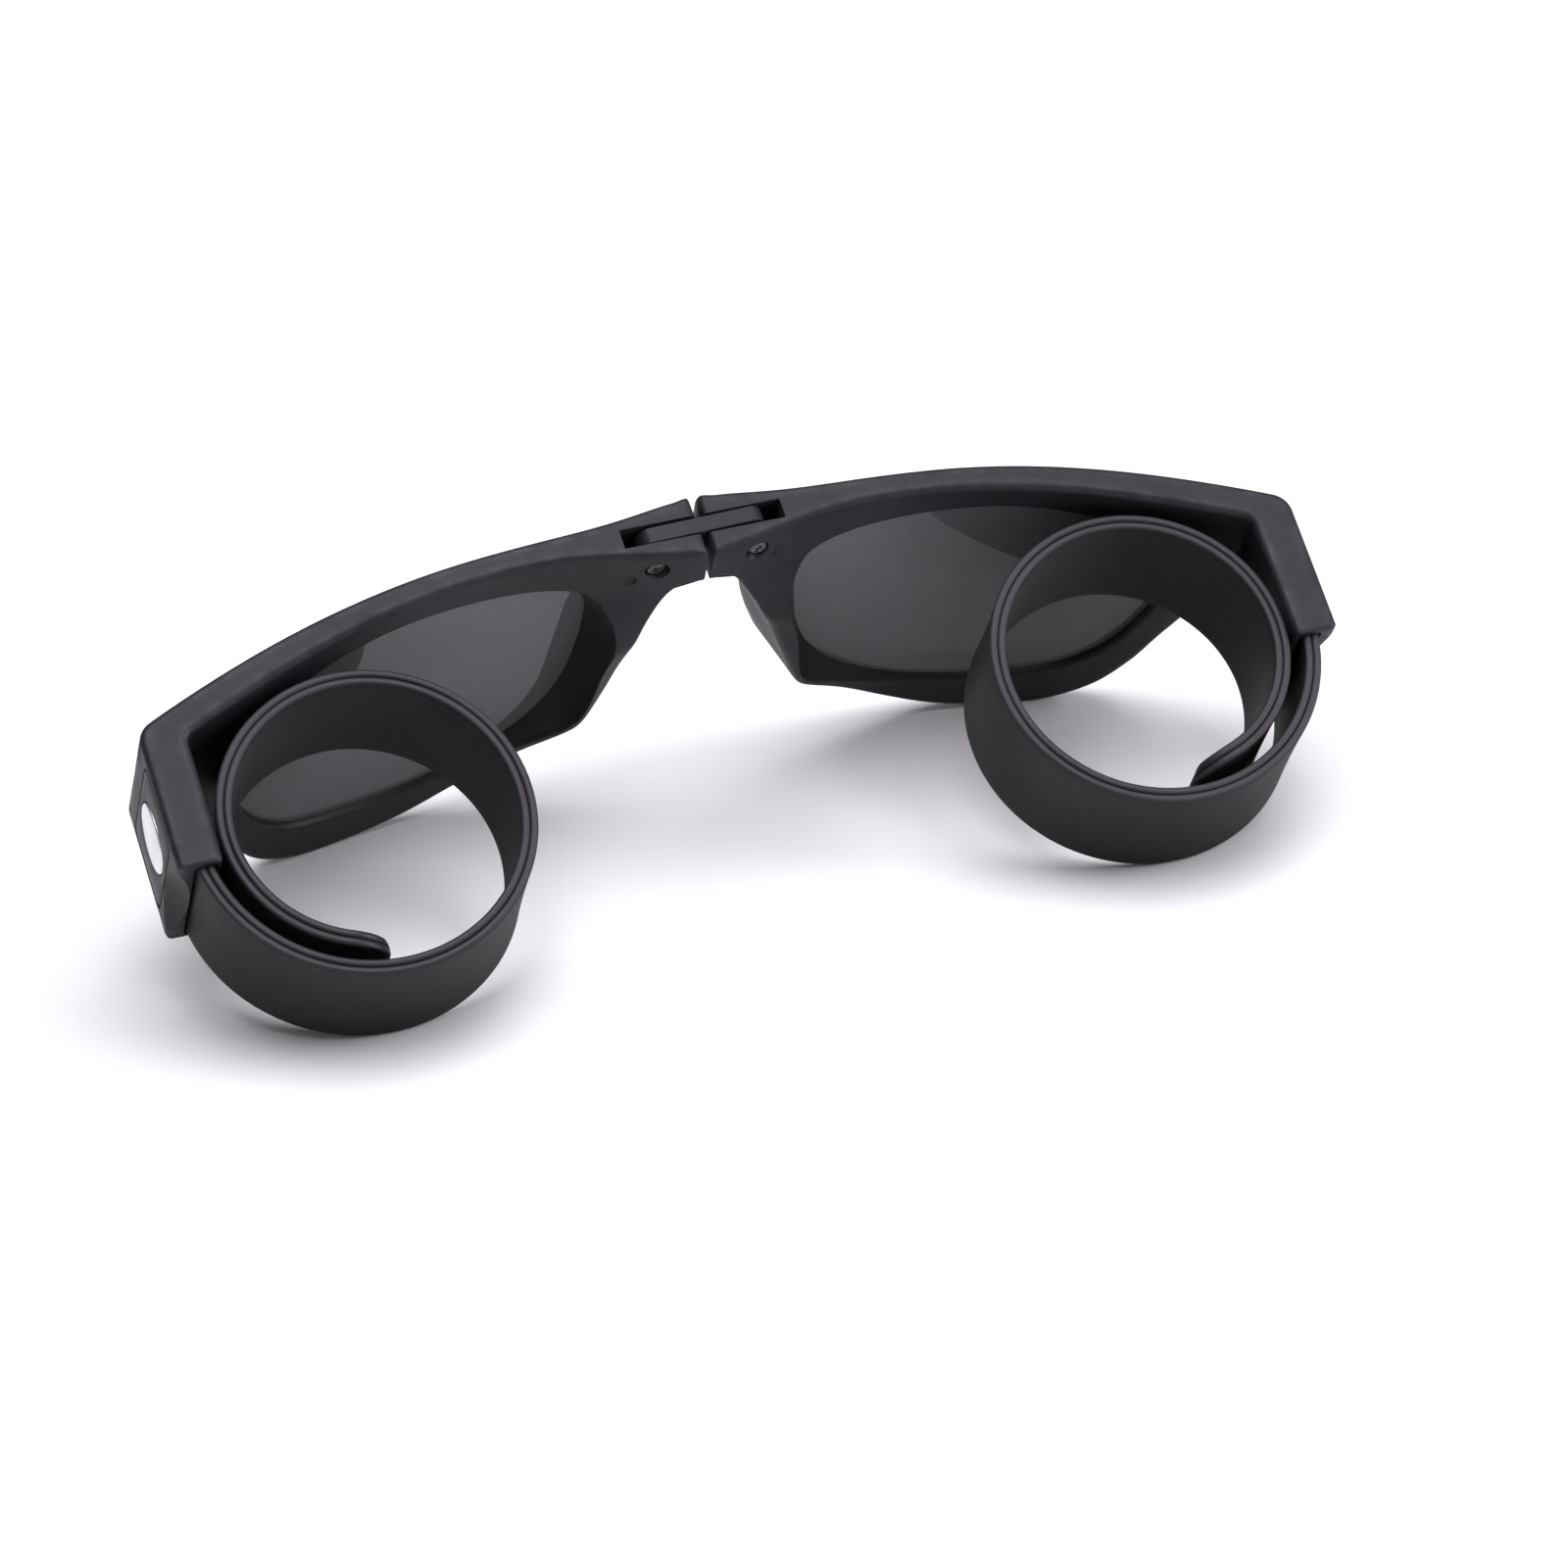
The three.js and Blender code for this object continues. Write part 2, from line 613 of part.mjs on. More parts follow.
function pivotScrew() {
  const headTop = SCREW_HEAD_Y + SCREW_HEAD_HEIGHT;
  const profile = [
    new THREE.Vector2(0, SCREW_HEAD_Y),
    new THREE.Vector2(SCREW_HEAD_RADIUS, SCREW_HEAD_Y),
    new THREE.Vector2(SCREW_HEAD_RADIUS, headTop),
    new THREE.Vector2(SCREW_SHANK_RADIUS, headTop),
    new THREE.Vector2(SCREW_SHANK_RADIUS, INSERT_FRONT_Y),
    new THREE.Vector2(0, INSERT_FRONT_Y),
  ];
  const body = new THREE.LatheGeometry(profile, ROUND_SEGMENTS);
  body.translate(PIVOT_X, 0, PIVOT_Z);
  const arm = CROSS_ARM;
  const floorY = SCREW_HEAD_Y + CROSS_DEPTH;
  const rearY = SCREW_HEAD_Y - CUT_OVERRUN;
  const half = CROSS_SLOT / 2;
  const level = box(PIVOT_X - arm, PIVOT_X + arm, rearY, floorY, PIVOT_Z - half, PIVOT_Z + half);
  const upright = box(PIVOT_X - half, PIVOT_X + half, rearY, floorY, PIVOT_Z - arm, PIVOT_Z + arm);
  return cut(body, level, upright);
}

function threadInsert() {
  const bore = pivotRod(
    SCREW_SHANK_RADIUS + CLEARANCE / 2,
    INSERT_REAR_Y - CUT_OVERRUN,
    INSERT_FRONT_Y + CUT_OVERRUN,
  );
  return cut(pivotRod(INSERT_RADIUS, INSERT_REAR_Y, INSERT_FRONT_Y), bore);
}

// Temple pieces

function templeCover() {
  const plate = sidePlate(coverShape(0), HALF_WIDTH - COVER_THICKNESS, HALF_WIDTH, ROUND_SEGMENTS / 4);
  const floorX = HALF_WIDTH + BADGE_PROUD - BADGE_THICKNESS - CLEARANCE / 2;
  const seat = sidePlate(badgeShape(CLEARANCE), floorX, HALF_WIDTH + CUT_OVERRUN, ROUND_SEGMENTS);
  return cut(plate, seat);
}

function badge() {
  const outerX = HALF_WIDTH + BADGE_PROUD;
  return sidePlate(badgeShape(0), outerX - BADGE_THICKNESS, outerX, ROUND_SEGMENTS);
}

// Band path: the radius of curvature shrinks steadily from the stub to the tip.

function bandPath() {
  const points = [];
  const step = BAND_LENGTH / PATH_STEPS;
  let heading = rad(BAND_EXIT_HEADING);
  let x = BAND_X;
  let y = STUB_REAR_Y - CLEARANCE;
  for (let i = 0; i <= PATH_STEPS; i += 1) {
    points.push({ x, y, heading });
    const radius = THREE.MathUtils.lerp(COIL_START_RADIUS, COIL_END_RADIUS, (i + 0.5) / PATH_STEPS);
    const middle = heading + step / radius / 2;
    x -= step * Math.sin(middle);
    y -= step * Math.cos(middle);
    heading += step / radius;
  }
  return points;
}

const BAND_PATH = bandPath();

// A point at a length along the band, offset outward from the coil's centre
function bandPoint(length, outward, z) {
  const share = THREE.MathUtils.clamp(length / BAND_LENGTH, 0, 1) * PATH_STEPS;
  const low = Math.min(Math.floor(share), PATH_STEPS - 1);
  const [a, b] = [BAND_PATH[low], BAND_PATH[low + 1]];
  const t = share - low;
  const heading = THREE.MathUtils.lerp(a.heading, b.heading, t);
  return new THREE.Vector3(
    THREE.MathUtils.lerp(a.x, b.x, t) + Math.cos(heading) * outward,
    THREE.MathUtils.lerp(a.y, b.y, t) - Math.sin(heading) * outward,
    z,
  );
}

// How far the band's rounded tip draws in from its edges
function tipInset(length) {
  const past = Math.max(length - (BAND_LENGTH - BAND_TIP_ROUND), 0);
  return BAND_TIP_ROUND - Math.sqrt(Math.max(BAND_TIP_ROUND ** 2 - past ** 2, 0));
}

function bandBlock(lengths, outer, inner, edge) {
  return block(lengths.length - 1, 1, (i, j, layer) => {
    const length = lengths[i];
    const inset = Math.min(tipInset(length), BAND_HEIGHT / 2 - edge - TIP_HALF_MIN) + edge;
    const z = j === 0 ? BAND_TOP_Z - inset : BAND_BOTTOM_Z + inset;
    return bandPoint(length, layer === 0 ? outer : inner, z);
  });
}

function linkLengths(from, to) {
  const lengths = [];
  for (let i = 0; i <= LINK_STEPS; i += 1) {
    lengths.push(THREE.MathUtils.lerp(from, to, i / LINK_STEPS));
  }
  const roundFrom = BAND_LENGTH - BAND_TIP_ROUND;
  if (to > roundFrom) {
    for (const share of TIP_SHARES) {
      lengths.push(roundFrom + BAND_TIP_ROUND * share);
    }
  }
  return lengths.sort((a, b) => a - b);
}

const LINK_LENGTH = BAND_LENGTH / LINK_COUNT;
const POCKET_HALF = BAND_THICKNESS / 2 - BAND_WALL;

function bandSleeve(k) {
  const last = k === LINK_COUNT - 1;
  const from = k * LINK_LENGTH + CLEARANCE / 2;
  const to = (k + 1) * LINK_LENGTH - (last ? 0 : CLEARANCE / 2);
  const body = bandBlock(linkLengths(from, to), BAND_THICKNESS / 2, -BAND_THICKNESS / 2, 0);
  const pocketTo = last ? to - TIP_WALL : to + CLEARANCE;
  const inside = linkLengths(from, Math.min(pocketTo, to));
  const reach = [Math.max(from - CLEARANCE, 0), ...inside];
  if (!last) {
    reach.push(pocketTo);
  }
  const pocket = bandBlock(reach, POCKET_HALF, -POCKET_HALF, BAND_WALL);
  return cut(body, pocket);
}

function springStrip(k) {
  const last = k === LINK_COUNT - 1;
  const from = k * LINK_LENGTH + CLEARANCE / 2;
  const to = (k + 1) * LINK_LENGTH - (last ? TIP_WALL + CLEARANCE : CLEARANCE / 2);
  const half = STRIP_THICKNESS / 2;
  return bandBlock(linkLengths(from, to), half, -half, BAND_WALL + CLEARANCE);
}

// The band's tail, held in the stub's socket
function bandRoot() {
  const half = BAND_THICKNESS / 2;
  const frontY = STUB_REAR_Y + SOCKET_DEPTH - CLEARANCE;
  return box(BAND_X - half, BAND_X + half, STUB_REAR_Y, frontY, BAND_BOTTOM_Z, BAND_TOP_Z);
}

// Finishes

const FINISHES = {
  frame: { color: 0x1d1d20, roughness: 0.55, metalness: 0 },
  lens: { color: 0x2b2b2e, roughness: 0.08, metalness: 0 },
  silicone: { color: 0x19191b, roughness: 0.75, metalness: 0 },
  steel: { color: 0x9a9ca0, roughness: 0.3, metalness: 1 },
  brass: { color: 0xb08a4a, roughness: 0.35, metalness: 1 },
  silver: { color: 0xb9babd, roughness: 0.3, metalness: 1 },
};

const glasses = new THREE.Group();

function addPiece(name, geometry, finish) {
  const mesh = new THREE.Mesh(geometry, new THREE.MeshStandardMaterial(FINISHES[finish]));
  mesh.name = name;
  glasses.add(mesh);
}

function addPair(name, geometry, finish) {
  addPiece(`right_${name}`, geometry, finish);
  addPiece(`left_${name}`, mirrored(geometry), finish);
}

addPiece('bridge_link', bridgeLink(), 'frame');
addPair('frame_half', frameHalf(), 'frame');
addPair('lens', lens(), 'lens');
addPair('pivot_screw', pivotScrew(), 'steel');
addPair('thread_insert', threadInsert(), 'brass');
addPair('temple_cover', templeCover(), 'frame');
addPair('badge', badge(), 'silver');
addPair('band_root', bandRoot(), 'silicone');
for (let k = 0; k < LINK_COUNT; k += 1) {
  const number = String(k + 1).padStart(2, '0');
  addPair(`band_sleeve_${number}`, bandSleeve(k), 'silicone');
  addPair(`spring_strip_${number}`, springStrip(k), 'steel');
}

// Pitch the glasses back until the rims and the coils touch the table together.

function lowest(names, pitch) {
  const low = { y: 0, z: Infinity };
  for (const mesh of glasses.children.filter((child) => names.test(child.name))) {
    const position = mesh.geometry.getAttribute('position');
    for (let i = 0; i < position.count; i += 1) {
      const y = position.getY(i) * Math.cos(pitch) - position.getZ(i) * Math.sin(pitch);
      const z = position.getY(i) * Math.sin(pitch) + position.getZ(i) * Math.cos(pitch);
      if (z < low.z) {
        low.y = y;
        low.z = z;
      }
    }
  }
  return low;
}

function restingPitch() {
  let pitch = rad(FIRST_PITCH);
  for (let i = 0; i < SETTLE_STEPS; i += 1) {
    const rim = lowest(/frame_half/, pitch);
    const coil = lowest(/band_sleeve/, pitch);
    pitch += Math.atan2(coil.z - rim.z, rim.y - coil.y);
  }
  return pitch;
}

glasses.rotation.x = restingPitch();

// Stand the group on the table, centred over the origin.
const part = new THREE.Group();
part.add(glasses);
part.updateMatrixWorld(true);
const bounds = new THREE.Box3().setFromObject(part, true);
glasses.position.y = -(bounds.min.y + bounds.max.y) / 2;
glasses.position.z = -bounds.min.z;

export default part;
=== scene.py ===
"""Folding sunglasses with rolled-up wrap bands, dressed for a studio picture.

Shapes are worked out in the frame in which the glasses are worn, in millimetres: x to the wearer's
right, y forward, z up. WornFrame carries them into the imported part's own frame, in metres. The
right side is built, and the left side is its mirror image.
"""

import json
import logging
import math
from dataclasses import dataclass
from enum import Enum

import bpy
import numpy as np
from mathutils import Matrix, Vector


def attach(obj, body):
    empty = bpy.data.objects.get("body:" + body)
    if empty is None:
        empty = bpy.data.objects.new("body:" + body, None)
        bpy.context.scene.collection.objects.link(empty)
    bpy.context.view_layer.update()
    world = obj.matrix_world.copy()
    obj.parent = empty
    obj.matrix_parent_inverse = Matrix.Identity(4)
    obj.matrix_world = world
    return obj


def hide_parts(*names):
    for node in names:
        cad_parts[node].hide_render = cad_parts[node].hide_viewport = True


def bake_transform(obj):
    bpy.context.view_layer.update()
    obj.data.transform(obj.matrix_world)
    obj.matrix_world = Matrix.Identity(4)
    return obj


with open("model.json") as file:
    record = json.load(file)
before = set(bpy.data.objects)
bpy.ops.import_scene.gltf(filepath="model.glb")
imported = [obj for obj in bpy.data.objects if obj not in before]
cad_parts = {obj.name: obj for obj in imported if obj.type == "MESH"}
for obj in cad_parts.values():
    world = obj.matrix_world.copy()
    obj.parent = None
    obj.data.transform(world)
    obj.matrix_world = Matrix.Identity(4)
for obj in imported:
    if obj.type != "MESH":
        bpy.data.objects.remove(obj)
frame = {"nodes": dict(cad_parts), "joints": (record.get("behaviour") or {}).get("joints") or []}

LOG = logging.getLogger("sunglasses")
MM = 0.001
IMAGE_SIZE = 1600
Array = np.ndarray


class Side(Enum):
    """The two halves of the glasses, with the sign of their x."""

    RIGHT = 1
    LEFT = -1

    @property
    def label(self) -> str:
        """The word that starts the names of this side's nodes."""
        return self.name.lower()


# Numbers and curves

def smooth(value: Array, low: float, high: float) -> Array:
    """A soft step from 0 at low to 1 at high."""
    t = np.clip((np.asarray(value, float) - low) / (high - low), 0.0, 1.0)
    return t * t * (3.0 - 2.0 * t)


def bell(value: Array, centre: float, spread: float) -> Array:
    """A bell of height 1 about centre, fallen to 1/e at spread from it."""
    return np.exp(-(((np.asarray(value, float) - centre) / spread) ** 2))


def running(steps: Array) -> Array:
    """The running sum of steps, starting at 0."""
    return np.concatenate([[0.0], np.cumsum(steps)])


def run_along(line: Array) -> Array:
    """The length along a line of points, from its start to each point."""
    return running(np.linalg.norm(np.diff(line, axis=0), axis=1))


def circle(count: int) -> Array:
    """Angles once round, with the start not repeated."""
    return np.linspace(0, 2 * math.pi, count, endpoint=False)


def through(points: Array, count: int) -> Array:
    """A smooth curve through points, with the same count of steps in every span.

    Each span is a cubic whose end slopes are half the step between the neighbouring points.

    Args:
        points: the points that the curve passes, one per row.
        count: steps per span.

    Returns:
        The curve's points, ends included.
    """
    points = np.asarray(points, float)
    padded = np.vstack([points[:1], points, points[-1:]])
    p0, p1, p2, p3 = (padded[i:len(padded) - 3 + i, None] for i in range(4))
    t = (np.arange(count) / count)[None, :, None]
    v0, v1 = (p2 - p0) / 2, (p3 - p1) / 2
    cubic = (2 * p1 - 2 * p2 + v0 + v1) * t**3 + (-3 * p1 + 3 * p2 - 2 * v0 - v1) * t**2 + v0 * t + p1
    return np.vstack([cubic.reshape(-1, points.shape[1]), points[-1:]])


def even(line: Array, spacing: float, closed: bool = False) -> Array:
    """The same line with points an even distance apart.

    Args:
        line: the line's points, one per row.
        spacing: about how far apart the new points are.
        closed: whether the line comes back to its start.

    Returns:
        The new points. A closed line doesn't repeat its start.
    """
    line = np.vstack([line, line[:1]]) if closed else line
    run = run_along(line)
    count = max(int(round(run[-1] / spacing)), 2)
    at = np.linspace(0.0, run[-1], count + 1)[: count if closed else count + 1]
    return np.stack([np.interp(at, run, line[:, k]) for k in range(line.shape[1])], -1)


def soften_loop(loop: Array, spacing: float, radius: float) -> Array:
    """An evenly spaced closed loop with its corners rounded, by a circular bell filter.

    Args:
        loop: the loop's points, one per row.
        spacing: the distance between them.
        radius: the bell's spread.

    Returns:
        As many points as before.
    """
    freq = np.fft.fftfreq(len(loop), spacing)
    gain = np.exp(-2.0 * (math.pi * freq * radius) ** 2)
    return np.real(np.fft.ifft(np.fft.fft(loop, axis=0) * gain[:, None], axis=0))


# Meshes

def grid_faces(rows: int, columns: int, wrap_rows: bool, wrap_columns: bool) -> Array:
    """Corner numbers of the quads of a grid of points.

    Args:
        rows: how many rows of points there are.
        columns: how many points a row has.
        wrap_rows: whether the last row joins the first.
        wrap_columns: whether each row is closed.

    Returns:
        Four corner numbers per quad.
    """
    i = np.arange(rows if wrap_rows else rows - 1)[:, None]
    j = np.arange(columns if wrap_columns else columns - 1)[None, :]
    i1, j1 = (i + 1) % rows, (j + 1) % columns
    corners = [i * columns + j, i1 * columns + j, i1 * columns + j1, i * columns + j1]
    return np.stack([np.broadcast_to(c, (i.shape[0], j.shape[1])) for c in corners], -1).reshape(-1, 4)


def signed_volume(points: Array, faces: Array) -> float:
    """Six times the volume that a closed set of quads holds, positive when they face outwards."""
    a, b, c, d = (points[faces[:, k]] for k in range(4))
    return float((np.cross(a, b) * c).sum() + (np.cross(a, c) * d).sum())


@dataclass(frozen=True)
class WornFrame:
    """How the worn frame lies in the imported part's frame: pitched back, then moved."""

    pitch: float
    shift_y: float
    shift_z: float

    @classmethod
    def from_fold(cls, joint: dict, pivot: tuple[float, float, float]) -> "WornFrame":
        """Reads the pitch and the shift from the right half's fold joint.

        Args:
            joint: the joint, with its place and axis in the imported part's frame.
            pivot: the same place in the worn frame.

        Returns:
            The frame in which the pivot and the axis agree.
        """
        axis = -np.array(joint["axis"], float)
        pitch = math.atan2(axis[2], axis[1])
        bare = cls(pitch, 0.0, 0.0).row(np.array([pivot]))[0]
        gap = (np.array(joint["pos_m"]) - bare) / MM
        return cls(pitch, float(gap[1]), float(gap[2]))

    def row(self, points: Array) -> Array:
        """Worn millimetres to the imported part's metres: a turn about x, then a shift.

        Args:
            points: worn points, one per row.

        Returns:
            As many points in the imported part's frame.
        """
        c, s = math.cos(self.pitch), math.sin(self.pitch)
        x, y, z = points[:, 0], points[:, 1], points[:, 2]
        return np.stack([x, c * y - s * z + self.shift_y, s * y + c * z + self.shift_z], -1) * MM


PIVOT = (6.5, 10.6, -1.3)
WORN = WornFrame.from_fold({j["name"]: j for j in frame["joints"]}["right_fold"], PIVOT)


def mesh_object(name: str, points: Array, faces: list, sharp: float = 40.0) -> bpy.types.Object:
    """A smooth-shaded object from worn points, with edges sharper than an angle left crisp.

    Args:
        name: the piece's name.
        points: its vertices in the worn frame, in millimetres.
        faces: corner numbers of each face.
        sharp: degrees between two faces from which their edge shows.

    Returns:
        The object, linked to the scene.
    """
    mesh = bpy.data.meshes.new(name)
    mesh.from_pydata(WORN.row(points).tolist(), [], [list(map(int, f)) for f in faces])
    mesh.update()
    shade(mesh, sharp)
    return linked(name, mesh)


def shade(mesh: bpy.types.Mesh, sharp: float) -> None:
    """Shades a mesh smooth, with edges sharper than an angle in degrees left crisp."""
    mesh.polygons.foreach_set("use_smooth", np.ones(len(mesh.polygons), bool))
    mesh.set_sharp_from_angle(angle=math.radians(sharp))


def linked(name: str, data: bpy.types.ID) -> bpy.types.Object:
    """A new object in the scene, at the origin.

    Args:
        name: its name.
        data: its mesh, light or camera.

    Returns:
        The object.
    """
    made = bpy.data.objects.new(name, data)
    bpy.context.scene.collection.objects.link(made)
    return made


def mark_edges(piece: bpy.types.Object, nearness: Array) -> None:
    """Stores on each point how near it is to an edge, for the frame's edge wear and the silicone's painted
    highlight on its lips.
    """
    mark = piece.data.attributes.new("edge", "FLOAT", "POINT")
    mark.data.foreach_set("value", nearness.astype(np.float32))


def outward(points: Array, faces: Array) -> Array:
    """The faces, turned round if they hold a negative volume."""
    return faces if signed_volume(points, faces) > 0 else faces[:, ::-1]


def capped_tube(rings: Array) -> tuple[Array, list]:
    """A closed skin over rings of points, with one face over each end ring.

    Args:
        rings: points as rings x corners x 3.

    Returns:
        The points and the faces, facing outwards.
    """
    rows, columns = rings.shape[:2]
    points = rings.reshape(-1, 3)
    faces = grid_faces(rows, columns, False, True)
    first, last = np.arange(columns), np.arange(columns) + (rows - 1) * columns
    if signed_volume(points - points.mean(0), faces) < 0:
        return points, [*faces[:, ::-1], first[::-1], last]
    return points, [*faces, first, last[::-1]]


def mirror_of(source: bpy.types.Object, name: str) -> bpy.types.Object:
    """A mirror image of an object across the middle plane, facing outwards.

    Args:
        source: the object that is mirrored.
        name: the image's name.

    Returns:
        The image, linked to the scene.
    """
    mesh = source.data.copy()
    mesh.transform(Matrix.Scale(-1.0, 4, (1.0, 0.0, 0.0)))
    mesh.flip_normals()
    mesh.name = name
    return linked(name, mesh)


def carve(body: bpy.types.Object, cutters: list[bpy.types.Object], sharp: float) -> None:
    """Cuts closed cutters out of a body, and removes the cutters.

    Args:
        body: the object that is cut.
        cutters: the closed objects taken away from it.
        sharp: degrees from which the new edges are crisp.
    """
    for cutter in cutters:
        step = body.modifiers.new("carve", "BOOLEAN")
        step.operation = "DIFFERENCE"
        step.solver = "EXACT"
        step.object = cutter
    graph = bpy.context.evaluated_depsgraph_get()
    cut = bpy.data.meshes.new_from_object(body.evaluated_get(graph))
    body.modifiers.clear()
    old = body.data
    body.data = cut
    cut.name = old.name
    bpy.data.meshes.remove(old)
    for cutter in cutters:
        bpy.data.objects.remove(cutter)
    shade(cut, sharp)


# Shape of the front

@dataclass(frozen=True)
class FrontPlan:
    """The front's sizes and the sheet (w, z, depth) in which each half is drawn.

    w runs along the brow's front from the middle, round the corner and along the temple stub. z is
    the height, and depth is measured inwards from the front.
    """

    # The brow in plan
    half_width: float = 73.4
    half_gap: float = 0.35
    brow_y: float = 13.0
    brow_sweep: float = 13.6
    brow_power: float = 2.75
    bridge_bulge: float = 1.4
    bulge_spread: float = 9.0
    bridge_thickening: float = 4.8
    depth_spread: float = 12.0
    brow_thickness: float = 3.3
    outer_thickness: float = 4.2

    # The corner and the temple stub
    corner_radius: float = 3.0
    inner_corner: float = 1.2
    inner_corner_drop: float = 0.5
    stub_thickness: float = 5.6
    stub_rear_y: float = -19.3
    stub_height: float = 19.5

    # The upper edge, and the arch under the bridge
    brow_rise: float = 1.6
    fall_start_x: float = 30.0
    knuckle: float = 6.4
    shoulder_x: float = 0.9
    bridge_drop: float = 4.2
    arch_share: float = 0.65
    arch_drop: float = 1.4

    # The lens
    lens_tilt: float = 7.4
    lens_x: float = 12.6
    lens_width: float = 49.4
    lens_top_z: float = -3.1
    lens_height: float = 35.5
    lens_front: float = 0.7
    lens_rear: float = 2.6
    lens_sag: float = 0.6

    # The nose pad, its cant and the ledge behind the lens
    pad_depth: float = 4.3
    pad_x: float = 13.5
    pad_inner_spread: float = 6.0
    pad_outer_spread: float = 14.0
    pad_top: float = 5.9
    pad_run: float = 8.1
    pad_fall: tuple = (14.0, 48.0)
    cant: float = 4.1
    cant_x: float = 8.8
    cant_spread: float = 5.6
    cant_top: float = 4.2
    cant_run: float = 14.4
    ledge: float = 0.6
    ledge_end_x: float = 56.0
    ledge_fade: float = 16.0

    # Outlines of the lens opening and the rim, as shares of the opening's box
    upper: tuple = (
        (0.021, 0.366), (0.028, 0.18), (0.085, 0.08), (0.198, 0.027), (0.388, 0), (0.6, 0),
        (0.789, 0.05), (0.926, 0.16), (0.985, 0.262), (1, 0.366),
    )
    lower: tuple = (
        (0.021, 0.366), (0.046, 0.56), (0.1, 0.72), (0.19, 0.845), (0.325, 0.942), (0.494, 0.987),
        (0.662, 0.975), (0.8, 0.92), (0.905, 0.78), (0.979, 0.545), (1, 0.366),
    )
    rim: tuple = (
        (-0.125, 0.2), (-0.113, 0.31), (-0.097, 0.432), (-0.067, 0.565), (-0.023, 0.694),
        (0.069, 0.825), (0.199, 0.958), (0.332, 1.078), (0.473, 1.158), (0.635, 1.174),
        (0.777, 1.146), (0.889, 1.04), (0.969, 0.868), (1.029, 0.68),
    )

    # How finely the lines are drawn
    slope_step: float = 0.01
    settle_rounds: int = 30
    brow_points: int = 1500
    lead_points: int = 40
    arc_points: int = 60
    corner_points: int = 240
    stub_points: int = 160
    top_points: int = 700
    span_points: int = 40

    def front_y(self, x: Array) -> Array:
        """The brow's front line: a bulge at the bridge and a sweep back to the temple."""
        sweep = self.brow_sweep * (np.abs(x) / self.half_width) ** self.brow_power
        return self.brow_y + self.bridge_bulge * bell(x, 0.0, self.bulge_spread) - sweep

    def inward(self, x: Array) -> Array:
        """Unit vectors square to the brow's front line, pointing back.

        Args:
            x: where on the brow.

        Returns:
            Pairs (x, y), from the line's slope over a small step.
        """
        step = self.slope_step
        slope = (self.front_y(x + step) - self.front_y(x - step)) / (2 * step)
        away = np.stack([slope, -np.ones_like(slope)], -1)
        return away / np.linalg.norm(away, axis=-1, keepdims=True)

    def thickness(self, x: Array) -> Array:
        """How deep the brow is: a soft step towards the temple and a bell at the bridge.

        Args:
            x: where on the brow.

        Returns:
            The depth there.
        """
        outer = smooth(x, self.fall_start_x, self.half_width)
        plain = self.brow_thickness + (self.outer_thickness - self.brow_thickness) * outer
        return plain + self.bridge_thickening * bell(x, 0.0, self.depth_spread)

    def settle(self, target: float, reach: float | None = None) -> float:
        """Where the brow, moved inwards, comes to a target x, found by repeated steps.

        Args:
            target: the x to come to.
            reach: how far the brow is moved, or None for its own thickness.

        Returns:
            The x on the brow's front line.
        """
        x = np.array([target])
        for _ in range(self.settle_rounds):
            depth = self.thickness(x) if reach is None else reach
            x = target - depth * self.inward(x)[:, 0]
        return float(x[0])

    @property
    def brow_end_x(self) -> float:
        """Where the brow's rear line turns into the stub."""
        return self.settle(self.half_width - self.stub_thickness - self.inner_corner)

    def corner_line(self) -> Array:
        """The front line from the brow's end round the outer corner, evenly spaced.

        The corner is an arc about a point that lies the corner's radius behind the brow.

        Returns:
            Pairs (x, y), ending on the stub's outer face.
        """
        start = np.array([self.settle(self.half_width - self.corner_radius, self.corner_radius)])
        touch = np.array([start[0], self.front_y(start)[0]])
        middle = touch + self.inward(start)[0] * self.corner_radius
        across = touch - middle
        turn = np.linspace(math.atan2(across[1], across[0]), 0, self.arc_points)
        arc = middle + self.corner_radius * np.stack([np.cos(turn), np.sin(turn)], -1)
        lead = np.linspace(self.brow_end_x, start[0], self.lead_points)
        path = np.vstack([np.stack([lead, self.front_y(lead)], -1), arc[1:]])
        return even(path, run_along(path)[-1] / self.corner_points)

    def plan_lines(self) -> tuple[Array, Array, Array]:
        """The front and rear lines in plan, point for point, and the run w of the front line.

        Behind the brow the rear line keeps the brow's thickness. It then bends into the stub's
        inner face along a quadratic curve through a knee.

        Returns:
            w, the front points and the rear points.
        """
        x = np.linspace(0.0, self.brow_end_x, self.brow_points)
        brow = np.stack([x, self.front_y(x)], -1)
        brow_rear = brow + self.inward(x) * self.thickness(x)[:, None]
        corner = self.corner_line()
        share = np.linspace(0.0, 1.0, len(corner))[:, None]
        inner_x = self.half_width - self.stub_thickness
        knee = np.array([inner_x, brow_rear[-1, 1] - self.inner_corner_drop])
        heel = knee - [0.0, self.inner_corner]
        bend = brow_rear[-1] * (1 - share) ** 2 + 2 * knee * share * (1 - share) + heel * share**2
        run = np.linspace(0.0, 1.0, self.stub_points)[1:, None]
        stub_front = corner[-1] * (1 - run) + np.array([self.half_width, self.stub_rear_y]) * run
        stub_rear = heel * (1 - run) + np.array([inner_x, self.stub_rear_y]) * run
        front = np.vstack([brow, corner[1:], stub_front])
        rear = np.vstack([brow_rear, bend[1:], stub_rear])
        return run_along(front), front, rear

    def share(self, points: tuple) -> Array:
        """Shares of the lens opening's box to (x, z).

        Args:
            points: pairs of shares, across and down.

        Returns:
            Pairs (x, z) in millimetres.
        """
        uv = np.array(points, float)
        x = self.lens_x + uv[:, 0] * self.lens_width
        return np.stack([x, self.lens_top_z - uv[:, 1] * self.lens_height], -1)

